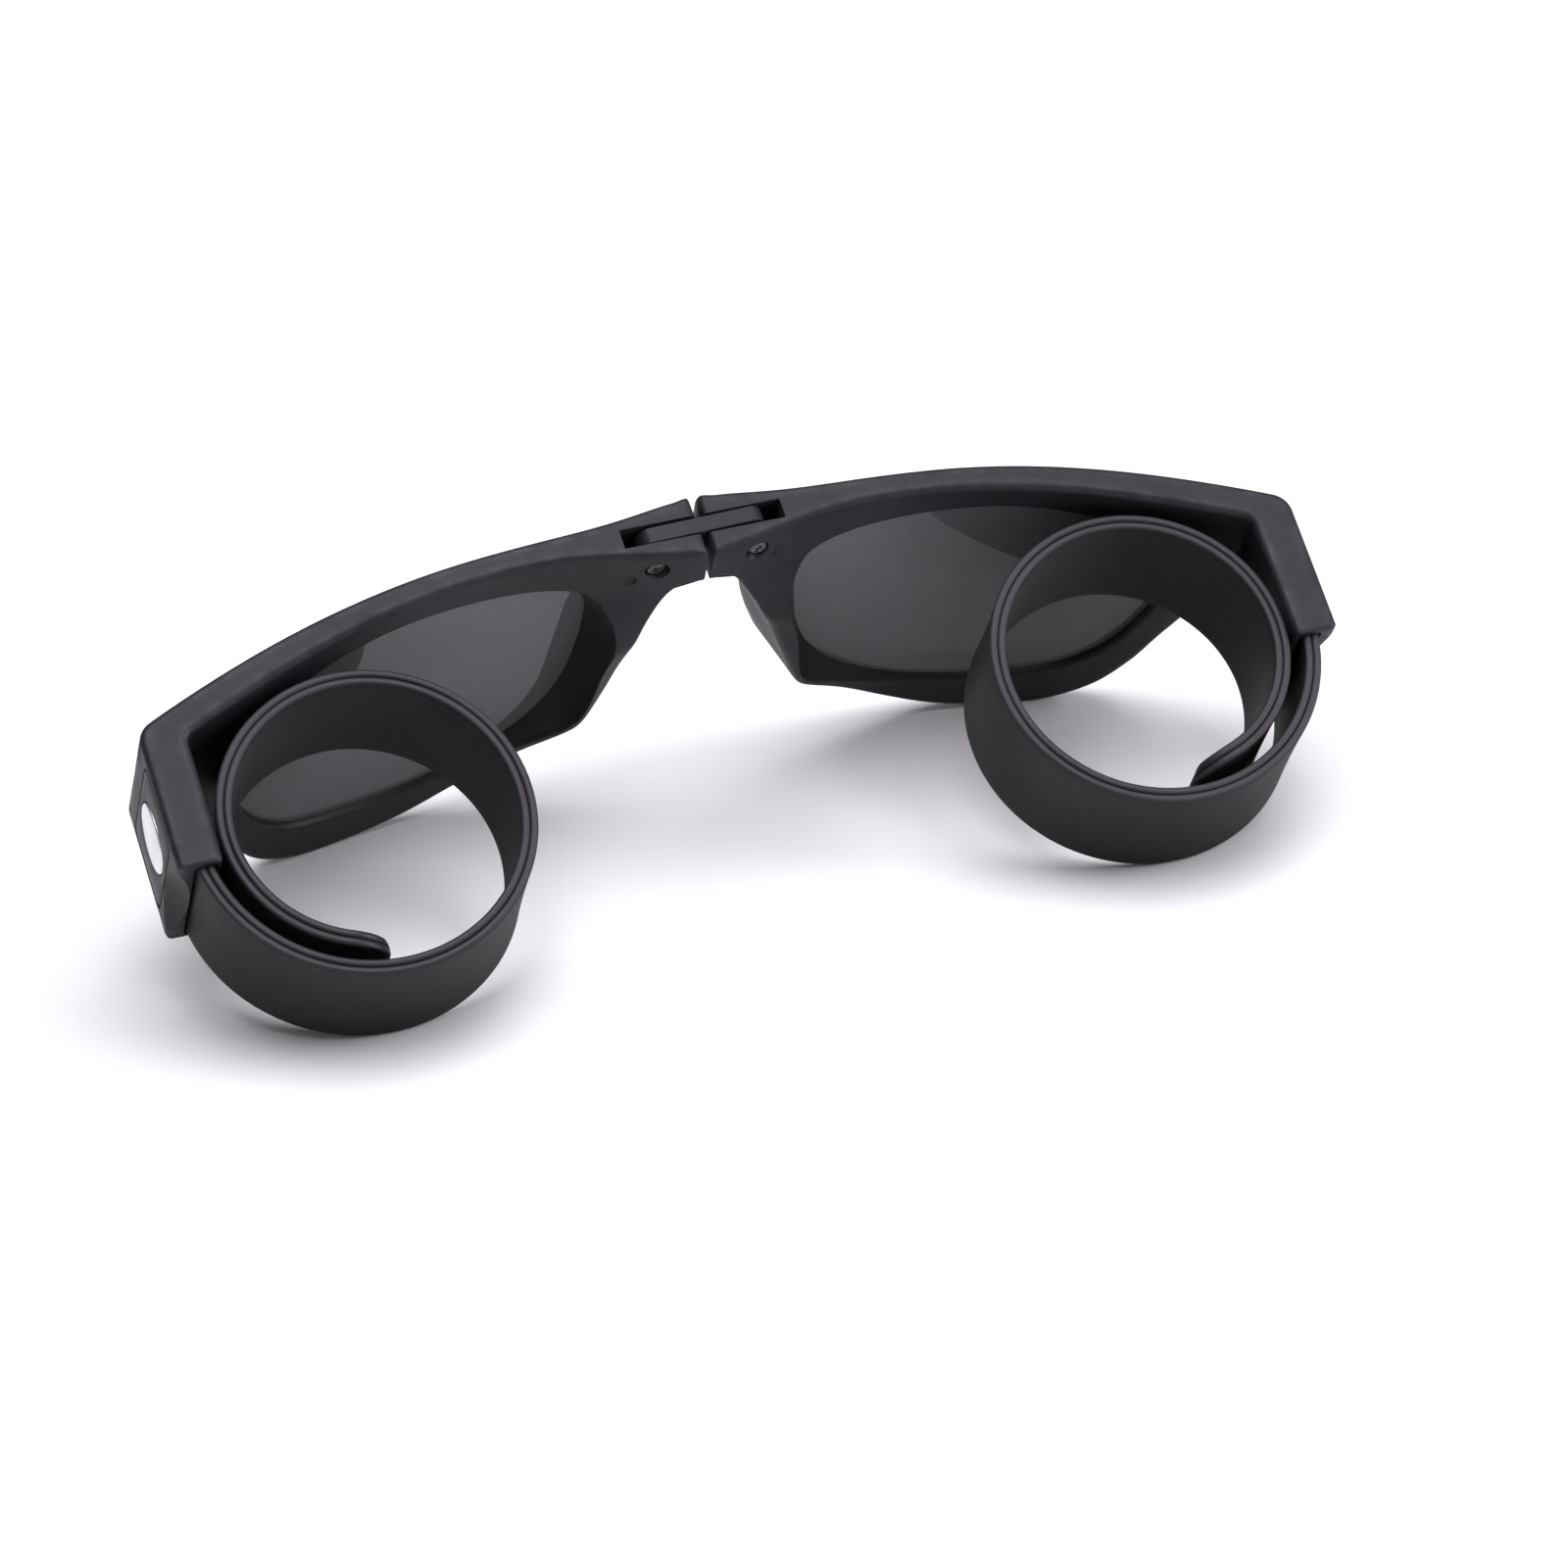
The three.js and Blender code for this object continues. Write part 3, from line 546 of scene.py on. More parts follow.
    def top(self, x: Array) -> Array:
        """The height of the brow's upper edge, rounded about the pivot beside the gap.

        Args:
            x: where on the brow.

        Returns:
            The lower of the brow's soft fall and, inside the pivot, a circle about it.
        """
        brow = self.brow_rise * (1 - smooth(x, self.fall_start_x, self.brow_end_x))
        reach = self.knuckle**2 - (PIVOT[0] - np.asarray(x)) ** 2
        knuckle = PIVOT[2] + np.sqrt(np.maximum(reach, 0.0))
        return np.where(np.asarray(x) < PIVOT[0], np.minimum(brow, knuckle), brow)

    def low(self, z: Array) -> Array:
        """0 along the brow, 1 low down on the rim."""
        return smooth(-np.asarray(z), self.pad_top, self.pad_top + self.pad_run)

    def pad(self, x: Array, z: Array) -> Array:
        """How much deeper the rim is behind the lens: a bell for the nose pad, and a ledge.

        Args:
            x: where across the rim.
            z: the height.

        Returns:
            The added depth, which fades in below the brow.
        """
        spread = np.where(np.asarray(x) < self.pad_x, self.pad_inner_spread, self.pad_outer_spread)
        nose = self.pad_depth * bell(x, self.pad_x, spread)
        nose = nose * (1 - smooth(-np.asarray(z), *self.pad_fall))
        ledge = self.ledge * (1 - smooth(x, self.ledge_end_x - self.ledge_fade, self.ledge_end_x))
        return (nose + ledge) * self.low(z)

    def sag(self, x: Array, z: Array) -> Array:
        """How much flatter than the brow the lens is: set back most at its lower middle.

        Args:
            x: where across the lens.
            z: the height.

        Returns:
            A parabola across, growing evenly downwards.
        """
        across = 2 * (np.asarray(x) - self.lens_x) / self.lens_width - 1
        down = np.clip((self.lens_top_z - np.asarray(z)) / self.lens_height, 0.0, 1.0)
        return self.lens_sag * np.maximum(1 - across**2, 0.0) * down

    def lean(self, x: Array, z: Array) -> Array:
        """How far the rear of the nose pad leans away from the nose."""
        share = smooth(-np.asarray(z), self.cant_top, self.cant_top + self.cant_run)
        return self.cant * bell(x, self.cant_x, self.cant_spread) * share


class FrontSheet:
    """Carries points (w, z, depth) of the front's sheet into the worn frame."""

    def __init__(self, plan: FrontPlan) -> None:
        """Works out the plan lines once.

        Args:
            plan: the front's sizes.
        """
        self.plan = plan
        self.w, self.front, rear = plan.plan_lines()
        across = rear - self.front
        self.deep = np.linalg.norm(across, axis=1)
        self.inward = across / self.deep[:, None]

    def at(self, w: Array, values: Array) -> Array:
        """A value known along the plan lines, read at w."""
        return np.interp(w, self.w, values)

    def w_of(self, x: Array) -> Array:
        """The run w of a brow point with this x."""
        return np.interp(x, self.front[:, 0], self.w)

    def depth(self, w: Array, z: Array) -> Array:
        """The full depth of the moulding at (w, z)."""
        return self.at(w, self.deep) + self.plan.pad(self.at(w, self.front[:, 0]), z)

    def sag(self, wz: Array) -> Array:
        """How far the lens is set back at (w, z)."""
        return self.plan.sag(self.at(wz[:, 0], self.front[:, 0]), wz[:, 1])

    def place(self, wz: Array, depth: Array, lean: bool = False) -> Array:
        """Points of the sheet in the worn frame.

        A point lies on the front line, moved inwards by its depth. The front tilts: y grows with z.

        Args:
            wz: run and height of each point.
            depth: how far it is behind the front.
            lean: whether the nose pad's cant is added, in proportion to the depth.

        Returns:
            The points in millimetres.
        """
        w, z = wz[:, 0], wz[:, 1]
        fx = self.at(w, self.front[:, 0])
        tilt = math.tan(math.radians(self.plan.lens_tilt))
        tilt = tilt * (1 - smooth(fx, self.plan.lens_x + self.plan.lens_width, self.plan.half_width))
        x = fx + self.at(w, self.inward[:, 0]) * depth
        y = self.at(w, self.front[:, 1]) + self.at(w, self.inward[:, 1]) * depth + tilt * z
        if lean:
            share = np.clip(depth / self.depth(w, z), 0.0, 1.0)
            x = x + share * self.plan.lean(fx, z)
        return np.stack([x, y, z], -1)

    def to_sheet(self, xz: Array) -> Array:
        """(x, z) of brow points to (w, z)."""
        return np.stack([self.w_of(xz[:, 0]), xz[:, 1]], -1)

    def opening(self) -> Array:
        """The lens opening's outline: a smooth curve over the top and one back below.

        Returns:
            A closed loop of (w, z).
        """
        plan = self.plan
        over = through(plan.share(plan.upper), plan.span_points)
        under = through(plan.share(plan.lower), plan.span_points)
        return self.to_sheet(np.vstack([over, under[-2:0:-1]]))

    def outline(self) -> Array:
        """The outer outline of a half, from the gap over the top and back along the rim.

        Returns:
            A closed loop of (w, z).
        """
        plan = self.plan
        x = np.linspace(plan.half_gap, plan.brow_end_x, plan.top_points)
        top = np.stack([self.w_of(x), plan.top(x)], -1)
        rear_w = self.w[-1]
        stub = np.array([[rear_w, 0.0], [rear_w, -plan.stub_height]])
        foot = np.array([plan.brow_end_x, -plan.stub_height])
        arch = [
            [plan.half_gap, -plan.bridge_drop],
            [plan.shoulder_x, -plan.bridge_drop],
            [(plan.half_gap + PIVOT[0]) * plan.arch_share, -plan.bridge_drop - plan.arch_drop],
        ]
        edge = through(np.vstack([arch, plan.share(plan.rim), foot]), plan.span_points)
        return np.vstack([top, stub, self.to_sheet(edge)[::-1]])


# Finishes

class Wire:
    """A shader socket that can be used in Python expressions."""

    def __init__(self, paint: "Paint", socket: bpy.types.NodeSocket) -> None:
        """Wraps one output socket of a paint's node tree."""
        self.paint, self.socket = paint, socket

    def maths(self, operation: str, *values: "Wire | float") -> "Wire":
        """A Math node over these values."""
        return self.paint.node("ShaderNodeMath", {"operation": operation}, dict(enumerate(values)))

    def __add__(self, other: "Wire | float") -> "Wire":
        """self + other."""
        return self.maths("ADD", self, other)

    __radd__ = __add__

    def __mul__(self, other: "Wire | float") -> "Wire":
        """self * other."""
        return self.maths("MULTIPLY", self, other)

    __rmul__ = __mul__

    def __sub__(self, other: "Wire | float") -> "Wire":
        """self - other."""
        return self.maths("SUBTRACT", self, other)

    def __rsub__(self, other: float) -> "Wire":
        """other - self."""
        return self.maths("SUBTRACT", other, self)

    def over(self, low: float, high: float) -> "Wire":
        """0 below low, 1 above high, and a soft step between."""
        settings = {"interpolation_type": "SMOOTHSTEP"}
        return self.paint.node("ShaderNodeMapRange", settings, {0: self, 1: low, 2: high})

    def between(self, low: tuple, high: tuple) -> "Wire":
        """A colour from low at 0 to high at 1."""
        return self.paint.mix(self, (*low, 1.0), (*high, 1.0))

    def towards(self, colour: tuple, share: "Wire") -> "Wire":
        """This colour, mixed towards another one by a share."""
        return self.paint.mix(share, self, (*colour, 1.0))


class Paint:
    """One material and its node tree. A speck is full up to its core, a share of its size."""

    speck_core = 0.4

    def __init__(self, name: str) -> None:
        """Starts a material with a Principled shader.

        Args:
            name: the material's name.
        """
        self.material = bpy.data.materials.new(name)
        self.material.use_nodes = True
        self.tree = self.material.node_tree
        self.shader = self.tree.nodes["Principled BSDF"]

    def node(self, kind: str, settings: dict, values: dict, output: str | int = 0) -> Wire:
        """Adds a node.

        Args:
            kind: the node's type.
            settings: attributes that are set first.
            values: socket name or number to a value or a Wire.
            output: the output socket that is returned.

        Returns:
            That output as a Wire.
        """
        made = self.tree.nodes.new(kind)
        for key, value in settings.items():
            setattr(made, key, value)
        for key, value in values.items():
            self.put(self.pick(made.inputs, key), value)
        return Wire(self, self.pick(made.outputs, output))

    @staticmethod
    def pick(sockets: bpy.types.bpy_prop_collection, key: str | int) -> bpy.types.NodeSocket:
        """The socket that a key stands for.

        Args:
            sockets: a node's inputs or outputs.
            key: a number, or the name of an enabled socket.

        Returns:
            That socket.
        """
        if isinstance(key, int):
            return sockets[key]
        return next(s for s in sockets if s.name == key and s.enabled)

    def put(self, socket: bpy.types.NodeSocket, value: "Wire | float | tuple") -> None:
        """Links a Wire to a socket, or sets the socket's own value.

        Args:
            socket: the input.
            value: what it gets.
        """
        if isinstance(value, Wire):
            self.tree.links.new(value.socket, socket)
        else:
            socket.default_value = value

    def set(self, **values: "Wire | float | tuple") -> None:
        """Feeds the shader's sockets, named with underscores for spaces."""
        for key, value in values.items():
            self.put(self.pick(self.shader.inputs, key.replace("_", " ")), value)

    def mix(self, share: Wire, start: "Wire | tuple", end: "Wire | tuple") -> Wire:
        """A colour from start at share 0 to end at share 1."""
        values = {"Factor": share, "A": start, "B": end}
        return self.node("ShaderNodeMix", {"data_type": "RGBA"}, values, "Result")

    def place(self) -> Wire:
        """Object coordinates, in metres."""
        return self.node("ShaderNodeTexCoord", {}, {}, "Object")

    def stretched(self, scale: tuple) -> Wire:
        """Object coordinates scaled by three numbers."""
        return self.node("ShaderNodeMapping", {}, {"Vector": self.place(), "Scale": scale}, "Vector")

    def noise(self, scale: float, detail: float, vector: Wire) -> Wire:
        """Cloudy noise from 0 to 1 with about scale features per metre."""
        values = {"Vector": vector, "Scale": scale, "Detail": detail}
        return self.node("ShaderNodeTexNoise", {}, values, "Fac")

    def specks(self, scale: float, size: float) -> Wire:
        """Small round specks: 1 well inside a cell's middle and 0 from size outwards.

        Args:
            scale: cells per metre.
            size: a speck's radius, as a share of a cell.

        Returns:
            The specks' height.
        """
        values = {"Vector": self.place(), "Scale": scale, "Randomness": 1.0}
        gap = self.node("ShaderNodeTexVoronoi", {"feature": "F1"}, values, "Distance")
        return 1.0 - gap.over(size * self.speck_core, size)

    def attribute(self, name: str) -> Wire:
        """A number stored on the piece's points."""
        return self.node("ShaderNodeAttribute", {"attribute_name": name}, {}, "Fac")

    def bump(self, height: Wire, strength: float, distance: float) -> None:
        """Feeds the shader's normal from a height."""
        values = {"Height": height, "Strength": strength, "Distance": distance}
        self.set(Normal=self.node("ShaderNodeBump", {}, values, "Normal"))


@dataclass(frozen=True)
class Clouds:
    """A noise pattern: features per metre, detail, limits between which it fades in, and a stretch."""

    scale: float
    detail: float
    limits: tuple = ()
    stretch: tuple = ()

    def on(self, paint: Paint) -> Wire:
        """Adds the pattern to a paint.

        Args:
            paint: the paint that gets it.

        Returns:
            The noise from 0 to 1, as a soft step if there are limits.
        """
        vector = paint.stretched(self.stretch) if self.stretch else paint.place()
        noise = paint.noise(self.scale, self.detail, vector)
        return noise.over(*self.limits) if self.limits else noise


@dataclass(frozen=True)
class SoftTouch:
    """Soft-touch black moulding: fine grain, faint rub marks and edges worn glossy by handling.

    Shares say how much of a pattern is mixed in.
    """

    name: str = "soft_touch_black"
    dark: tuple = (0.0072, 0.0064, 0.0086)
    light: tuple = (0.0128, 0.0115, 0.0150)
    worn: tuple = (0.030, 0.028, 0.034)
    rough: float = 0.48
    specular: float = 0.24
    cloud: Clouds = Clouds(90.0, 4.0, (0.3, 0.72))
    grain: Clouds = Clouds(2600.0, 3.0)
    grain_share: float = 0.25
    grain_rough: float = 0.10
    pebble: Clouds = Clouds(900.0, 2.0)
    pebble_share: float = 0.35
    patches: Clouds = Clouds(420.0, 3.0, (0.3, 0.7))
    rubs: Clouds = Clouds(35.0, 5.0, (0.4, 0.8), (1.0, 4.0, 1.5))
    rub_gloss: float = 0.09
    edge_share: float = 0.55
    edge_gloss: float = 0.08
    relief: float = 0.5
    grain_depth: float = 0.00002

    def paint(self) -> bpy.types.Material:
        """Builds the material.

        Returns:
            Clouds and grain in the colour, with patchy wear along the edges.
        """
        paint = Paint(self.name)
        grain = self.grain.on(paint)
        edge = paint.attribute("edge") * self.patches.on(paint)
        body = self.cloud.on(paint) * (1 - self.grain_share) + grain * self.grain_share
        gloss = self.rub_gloss * self.rubs.on(paint) + self.edge_gloss * edge
        paint.set(
            Base_Color=body.between(self.dark, self.light).towards(self.worn, edge * self.edge_share),
            Roughness=self.rough + self.grain_rough * grain - gloss,
            Specular_IOR_Level=self.specular,
        )
        height = grain + self.pebble_share * self.pebble.on(paint)
        paint.bump(height, self.relief, self.grain_depth)
        return paint.material


@dataclass(frozen=True)
class Silicone:
    """Matt black silicone that picks up dust: soft clouds, smudges and scattered specks, with a painted
    highlight along the lips.

    Shares say how much of a pattern is mixed in. Speck scales are cells per metre.
    """

    name: str = "silicone_black"
    dark: tuple = (0.0046, 0.0042, 0.0054)
    light: tuple = (0.0088, 0.0080, 0.0102)
    # painted highlight: the lighter colour that the lips' crests are mixed towards
    lip_highlight: tuple = (0.034, 0.032, 0.038)
    dust: tuple = (0.16, 0.16, 0.16)
    rough: float = 0.58
    specular: float = 0.27
    cloud: Clouds = Clouds(60.0, 5.0, (0.3, 0.75))
    cloud_rough: float = 0.14
    grain: Clouds = Clouds(3200.0, 2.0)
    grain_share: float = 0.2
    grain_rough: float = 0.08
    speck_scale: float = 900.0
    speck_size: float = 0.10
    speck_drift: Clouds = Clouds(130.0, 2.0, (0.52, 0.66))
    fine_scale: float = 2100.0
    fine_size: float = 0.13
    fine_drift: Clouds = Clouds(75.0, 3.0, (0.48, 0.7))
    dust_share: float = 0.5
    edge_share: float = 0.35
    # how much the cloud pattern breaks up the painted highlight on the lips
    highlight_clouds: float = 0.5
    edge_gloss: float = 0.18
    relief: float = 0.35
    grain_depth: float = 0.00002

    def paint(self) -> bpy.types.Material:
        """Builds the material.

        Returns:
            Clouds and grain in the colour, a painted highlight along the lips with less roughness there,
            and specks that gather in drifts.
        """
        paint = Paint(self.name)
        cloud, grain = self.cloud.on(paint), self.grain.on(paint)
        specks = paint.specks(self.speck_scale, self.speck_size) * self.speck_drift.on(paint)
        fine = paint.specks(self.fine_scale, self.fine_size) * self.fine_drift.on(paint)
        edge = paint.attribute("edge")
        body = (cloud * (1 - self.grain_share) + grain * self.grain_share).between(self.dark, self.light)
        # painted highlight: the base colour is lightened along the lips' crests, where the edge attribute
        # is high
        highlit_body = body.towards(self.lip_highlight, edge * (self.edge_share + self.highlight_clouds * cloud))
        matt = self.cloud_rough * cloud + self.grain_rough * grain
        paint.set(
            Base_Color=highlit_body.towards(self.dust, (specks + fine) * self.dust_share),
            Roughness=self.rough + matt - self.edge_gloss * edge,
            Specular_IOR_Level=self.specular,
        )
        paint.bump(grain + specks, self.relief, self.grain_depth)
        return paint.material


@dataclass(frozen=True)
class SmokeLens:
    """Polished smoke-grey lens, a little see-through, with faint wiping marks."""

    name: str = "smoke_lens"
    dark: tuple = (0.080, 0.078, 0.083)
    light: tuple = (0.095, 0.093, 0.098)
    alpha: float = 0.94
    rough: float = 0.005
    specular: float = 0.4
    coat: float = 0.12
    coat_rough: float = 0.01
    wipes: Clouds = Clouds(28.0, 5.0, (0.35, 0.75), (1.0, 3.0, 1.0))
    wipe_rough: float = 0.012

    def paint(self) -> bpy.types.Material:
        """Builds the material.

        Returns:
            A glossy grey whose colour and gloss follow the wiping marks.
        """
        paint = Paint(self.name)
        wipe = self.wipes.on(paint)
        paint.set(
            Base_Color=wipe.between(self.dark, self.light),
            Roughness=self.rough + self.wipe_rough * wipe,
            Specular_IOR_Level=self.specular,
            Alpha=self.alpha,
            Coat_Weight=self.coat,
            Coat_Roughness=self.coat_rough,
        )
        return paint.material


@dataclass(frozen=True)
class Metal:
    """Bare or blackened metal with fine drawn lines along one direction."""

    name: str
    dark: tuple
    light: tuple
    rough: float
    metallic: float
    lines: Clouds = Clouds(700.0, 3.0, (), (1.0, 40.0, 1.0))
    line_rough: float = 0.14
    line_share: float = 0.5
    cloud: Clouds = Clouds(180.0, 3.0, (0.3, 0.7))
    cloud_gloss: float = 0.05
    relief: float = 0.2
    line_depth: float = 0.00001

    def paint(self) -> bpy.types.Material:
        """Builds the material.

        Returns:
            Drawn lines and clouds in equal parts.
        """
        paint = Paint(self.name)
        drawn, cloud = self.lines.on(paint), self.cloud.on(paint)
        body = drawn * self.line_share + cloud * (1 - self.line_share)
        paint.set(
            Base_Color=body.between(self.dark, self.light),
            Roughness=self.rough + self.line_rough * drawn - self.cloud_gloss * cloud,
            Metallic=self.metallic,
        )
        paint.bump(drawn, self.relief, self.line_depth)
        return paint.material


@dataclass(frozen=True)
class Palette:
    """All finishes of the glasses, made once."""

    frame: bpy.types.Material
    silicone: bpy.types.Material
    lens: bpy.types.Material
    badge: bpy.types.Material
    screw: bpy.types.Material
    brass: bpy.types.Material

    @classmethod
    def mixed(cls) -> "Palette":
        """Builds every material.

        Returns:
            The palette that the pieces are dressed from.
        """
        silver = Metal("satin_silver", (0.60, 0.60, 0.62), (0.80, 0.80, 0.82), rough=0.27, metallic=1.0)
        steel = Metal("black_steel", (0.05, 0.05, 0.055), (0.13, 0.13, 0.14), rough=0.33, metallic=0.85)
        brass = Metal("turned_brass", (0.55, 0.40, 0.18), (0.74, 0.57, 0.30), rough=0.30, metallic=1.0)
        return cls(
            frame=SoftTouch().paint(),
            silicone=Silicone().paint(),
            lens=SmokeLens().paint(),
            badge=silver.paint(),
            screw=steel.paint(),
            brass=brass.paint(),
        )


def dress(piece: bpy.types.Object, material: bpy.types.Material, slot: str, *nodes: str) -> None:
    """Gives a piece its material and hides the solids that it stands for.

    Args:
        piece: the piece.
        material: its finish.
        slot: not used.
        nodes: the solids that it replaces.
    """
    piece.data.materials.clear()
    piece.data.materials.append(material)
    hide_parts(*nodes)
    LOG.info("%s: %d faces", piece.name, len(piece.data.polygons))


# Pieces

def ball(name: str, middle: Array, radius: float, rows: int) -> bpy.types.Object:
    """A closed ball about a point: latitude and longitude circles, with a face over each end.

    Args:
        name: the object's name.
        middle: the worn point that it is about.
        radius: its radius.
        rows: latitudes from pole to pole.

    Returns:
        The ball.
    """
    lat = np.linspace(0, math.pi, rows)[1:-1, None]
    lon = circle(2 * rows)[None]
    shell = np.stack(np.broadcast_arrays(
        np.sin(lat) * np.cos(lon), np.sin(lat) * np.sin(lon), np.cos(lat) + 0 * lon), -1)
    points, faces = capped_tube(middle + radius * shell)
    return mesh_object(name, points, faces)


def prism(name: str, loops: list[Array]) -> bpy.types.Object:
    """A closed body through a stack of matching loops."""
    points, faces = capped_tube(np.stack(loops))
    return mesh_object(name, points, faces)


def round_box(half_a: float, half_b: float, radius: float, steps: int = 10) -> Array:
    """A rounded rectangle about the middle: four quarter circles, one turned after the other.

    Args:
        half_a: half of its first side.
        half_b: half of its second side.
        radius: its corners' radius.
        steps: points per corner.

    Returns:
        A closed loop of pairs.
    """
    turn = np.linspace(0, math.pi / 2, steps)
    arc = radius * np.stack([np.cos(turn), np.sin(turn)], -1)
    corners = []
    for quarter, (sa, sb) in enumerate(((1, 1), (-1, 1), (-1, -1), (1, -1))):
        c, s = math.cos(quarter * math.pi / 2), math.sin(quarter * math.pi / 2)
        corner = np.array([sa * (half_a - radius), sb * (half_b - radius)])
        corners.append(arc @ np.array([[c, s], [-s, c]]) + corner)
    return np.vstack(corners)


def stood(ring: Array, x: float) -> Array:
    """A loop of (y, z), stood up at x."""
    return np.column_stack([np.full(len(ring), x), ring])


Row = tuple[Array, Array, Array]


@dataclass(frozen=True)
class RimRays:
    """Rays across a half's rim in (w, z), each from the lens opening to the outline.

    dense is the outline again, with its points close together.
    """

    outer: Array
    inner: Array
    ray: Array
    dense: Array
    least_slant: float = 0.1
    chunk: int = 2000

    @property
    def length(self) -> Array:
        """How far each ray runs."""
        return np.linalg.norm(self.outer - self.inner, axis=1)

    @property
    def slant(self) -> Array:
        """The sine of the angle between each ray and the outline.

        Returns:
            One sine per ray, kept above a least value.
        """
        tangent = np.roll(self.outer, -1, 0) - np.roll(self.outer, 1, 0)
        tangent /= np.linalg.norm(tangent, axis=1, keepdims=True)
        sine = self.ray[:, 0] * tangent[:, 1] - self.ray[:, 1] * tangent[:, 0]
        return np.maximum(np.abs(sine), self.least_slant)

    def out(self, reach: Array) -> Array:
        """Points on the rays, this far out from the opening."""
        return self.inner + self.ray * reach[:, None]

    def gap(self, points: Array) -> Array:
        """How far points are from the outline, in chunks to spare memory.

        Args:
            points: the points, one per row.

        Returns:
            The distance of each to the nearest point of the outline.
        """
        chunks = np.array_split(points.astype(np.float32), max(len(points) // self.chunk, 1))
        target = self.dense.astype(np.float32)
        near = [np.sqrt(((c[:, None] - target[None]) ** 2).sum(-1).min(1)) for c in chunks]
        return np.concatenate(near).astype(float)


@dataclass(frozen=True)
class FrameHalf:
    """One moulded half: brow, rim, nose pad, bridge and temple stub round a lens opening.

    The skin is a ring round the opening. Along the ring run rays from a point inside the opening
    to the outline; across it runs a closed section: front face, edge, rear face, lens groove. Each
    row of the section holds points (w, z), their depths and how near they are to an edge.
    """

    # The rays
    hub: tuple = (36.0, -14.0)
    spacing: float = 0.1
    stride: int = 4
    corner_blur: float = 0.28

    # The section
    edge_round: float = 0.9
    gap_round: float = 0.3
    gap_fade: float = 2.5
    mouth_round: float = 0.45
    bevel: tuple = (0.0, 0.04, 0.13, 0.27, 0.47, 0.72, 1.0)
    bevel_limit: float = 0.45
    flare_slope: float = 0.54
    flare_spread: float = 0.45
    flare_limit: float = 0.8
    flare_rounds: int = 5
    slack: float = 0.04
    groove: float = 1.15
    wear_reach: float = 0.5
    face_steps: int = 22
    wall_steps: int = 7
    throat_steps: int = 7
    sharp: float = 50.0
    carved_sharp: float = 38.0

    # The thumb hollow and the mould mark
    scallop_radius: float = 20.0
    scallop_depth: float = 1.85
    scallop_turn: float = 30.0
    scallop_rows: int = 80
    dimple_radius: float = 1.4
    dimple_depth: float = 0.35
    dimple_spot: tuple = (10.4, -3.2)
    dimple_rows: int = 60

    def rays(self, sheet: FrontSheet) -> RimRays:
        """Matching points on the outline and the opening, ray by ray.

        Args:
            sheet: the front's sheet.

        Returns:
            Rays to every few points of the softened outline.
        """
        hub = np.array(self.hub)
        dense = even(sheet.outline(), self.spacing, closed=True)
        dense = soften_loop(dense, self.spacing, self.corner_blur)
        outer = dense[:: self.stride]
        away = outer - hub
        ray = away / np.linalg.norm(away, axis=1, keepdims=True)
        hole = sheet.opening() - hub
        turn, size = np.arctan2(hole[:, 1], hole[:, 0]), np.linalg.norm(hole, axis=1)
        order = np.argsort(turn)
        at = np.arctan2(ray[:, 1], ray[:, 0])
        radius = np.interp(at, turn[order], size[order], period=2 * math.pi)
        return RimRays(outer, hub + ray * radius[:, None], ray, dense)

    @staticmethod
    def edge_drop(gap: Array, radius: Array | float) -> Array:
        """How far a face falls away at a distance from its edge: a quarter circle."""
        inside = np.clip(radius - gap, 0.0, radius)
        return radius - np.sqrt(np.maximum(radius**2 - inside**2, 0.0))

    def edge_radius(self, plan: FrontPlan, wz: Array) -> Array:
        """The outer edge's radius: small beside the gap, full elsewhere."""
        share = smooth(wz[:, 0], plan.half_gap, plan.half_gap + self.gap_fade)
        return self.gap_round + (self.edge_round - self.gap_round) * share

    def face(self, rays: RimRays, start: Array) -> list[Array]:
        """Points of the rows across a face, close together along its rounded edge.

        Args:
            rays: the half's rays.
            start: how far from the opening the face begins.

        Returns:
            One array of (w, z) per row, from the outline inwards.
        """
        bevel = np.array(self.bevel)[:, None]
        run = rays.length - start
        inset = np.minimum(bevel * self.edge_round / rays.slant, self.bevel_limit * run * bevel)
        far = np.linspace(0.0, 1.0, self.face_steps)[1:, None]
        rest = inset[-1] + (run - inset[-1]) * far
        return [rays.outer - rays.ray * a[:, None] for a in np.vstack([inset, rest])]

    def fall(self, sheet: FrontSheet, rays: RimRays, wz: Array, mouth_gap: Array) -> tuple[Array, Array]:
        """How a face falls away at the outline and beside the lens opening.

        Args:
            sheet: the front's sheet.
            rays: the half's rays.
            wz: points of the face.
            mouth_gap: how far they are from the opening.

        Returns:
            The greater of both falls, and how near each point is to the outline.
        """
        gap = rays.gap(wz)
        drop = self.edge_drop(gap, self.edge_radius(sheet.plan, wz))
        return np.maximum(drop, self.edge_drop(mouth_gap, self.mouth_round)), np.exp(-gap / self.wear_reach)

    def front_rows(self, sheet: FrontSheet, rays: RimRays) -> list[Row]:
        """Rows across the front face, from the opening to the outline.

        Args:
            sheet: the front's sheet.
            rays: the half's rays.

        Returns:
            The rows, with their depths from the front.
        """
        rows = []
        for wz in self.face(rays, np.zeros(len(rays.outer)))[::-1]:
            rows.append((wz, *self.fall(sheet, rays, wz, np.linalg.norm(wz - rays.inner, axis=1))))
        return rows

    def edge_rows(self, sheet: FrontSheet, rays: RimRays) -> list[Row]:
        """Rows along the outer wall, between its two rounded edges.

        Args:
            sheet: the front's sheet.
            rays: the half's rays.

        Returns:
            The rows, evenly spaced from front to rear.
        """
        depth = sheet.depth(rays.outer[:, 0], rays.outer[:, 1])
        edge = self.edge_radius(sheet.plan, rays.outer)
        rows = []
        for share in np.linspace(0.0, 1.0, self.wall_steps)[1:-1]:
            level = edge + (depth - 2 * edge) * share
            near = np.minimum(level - edge, depth - edge - level)
            rows.append((rays.outer, level, np.exp(-near / self.wear_reach)))
        return rows

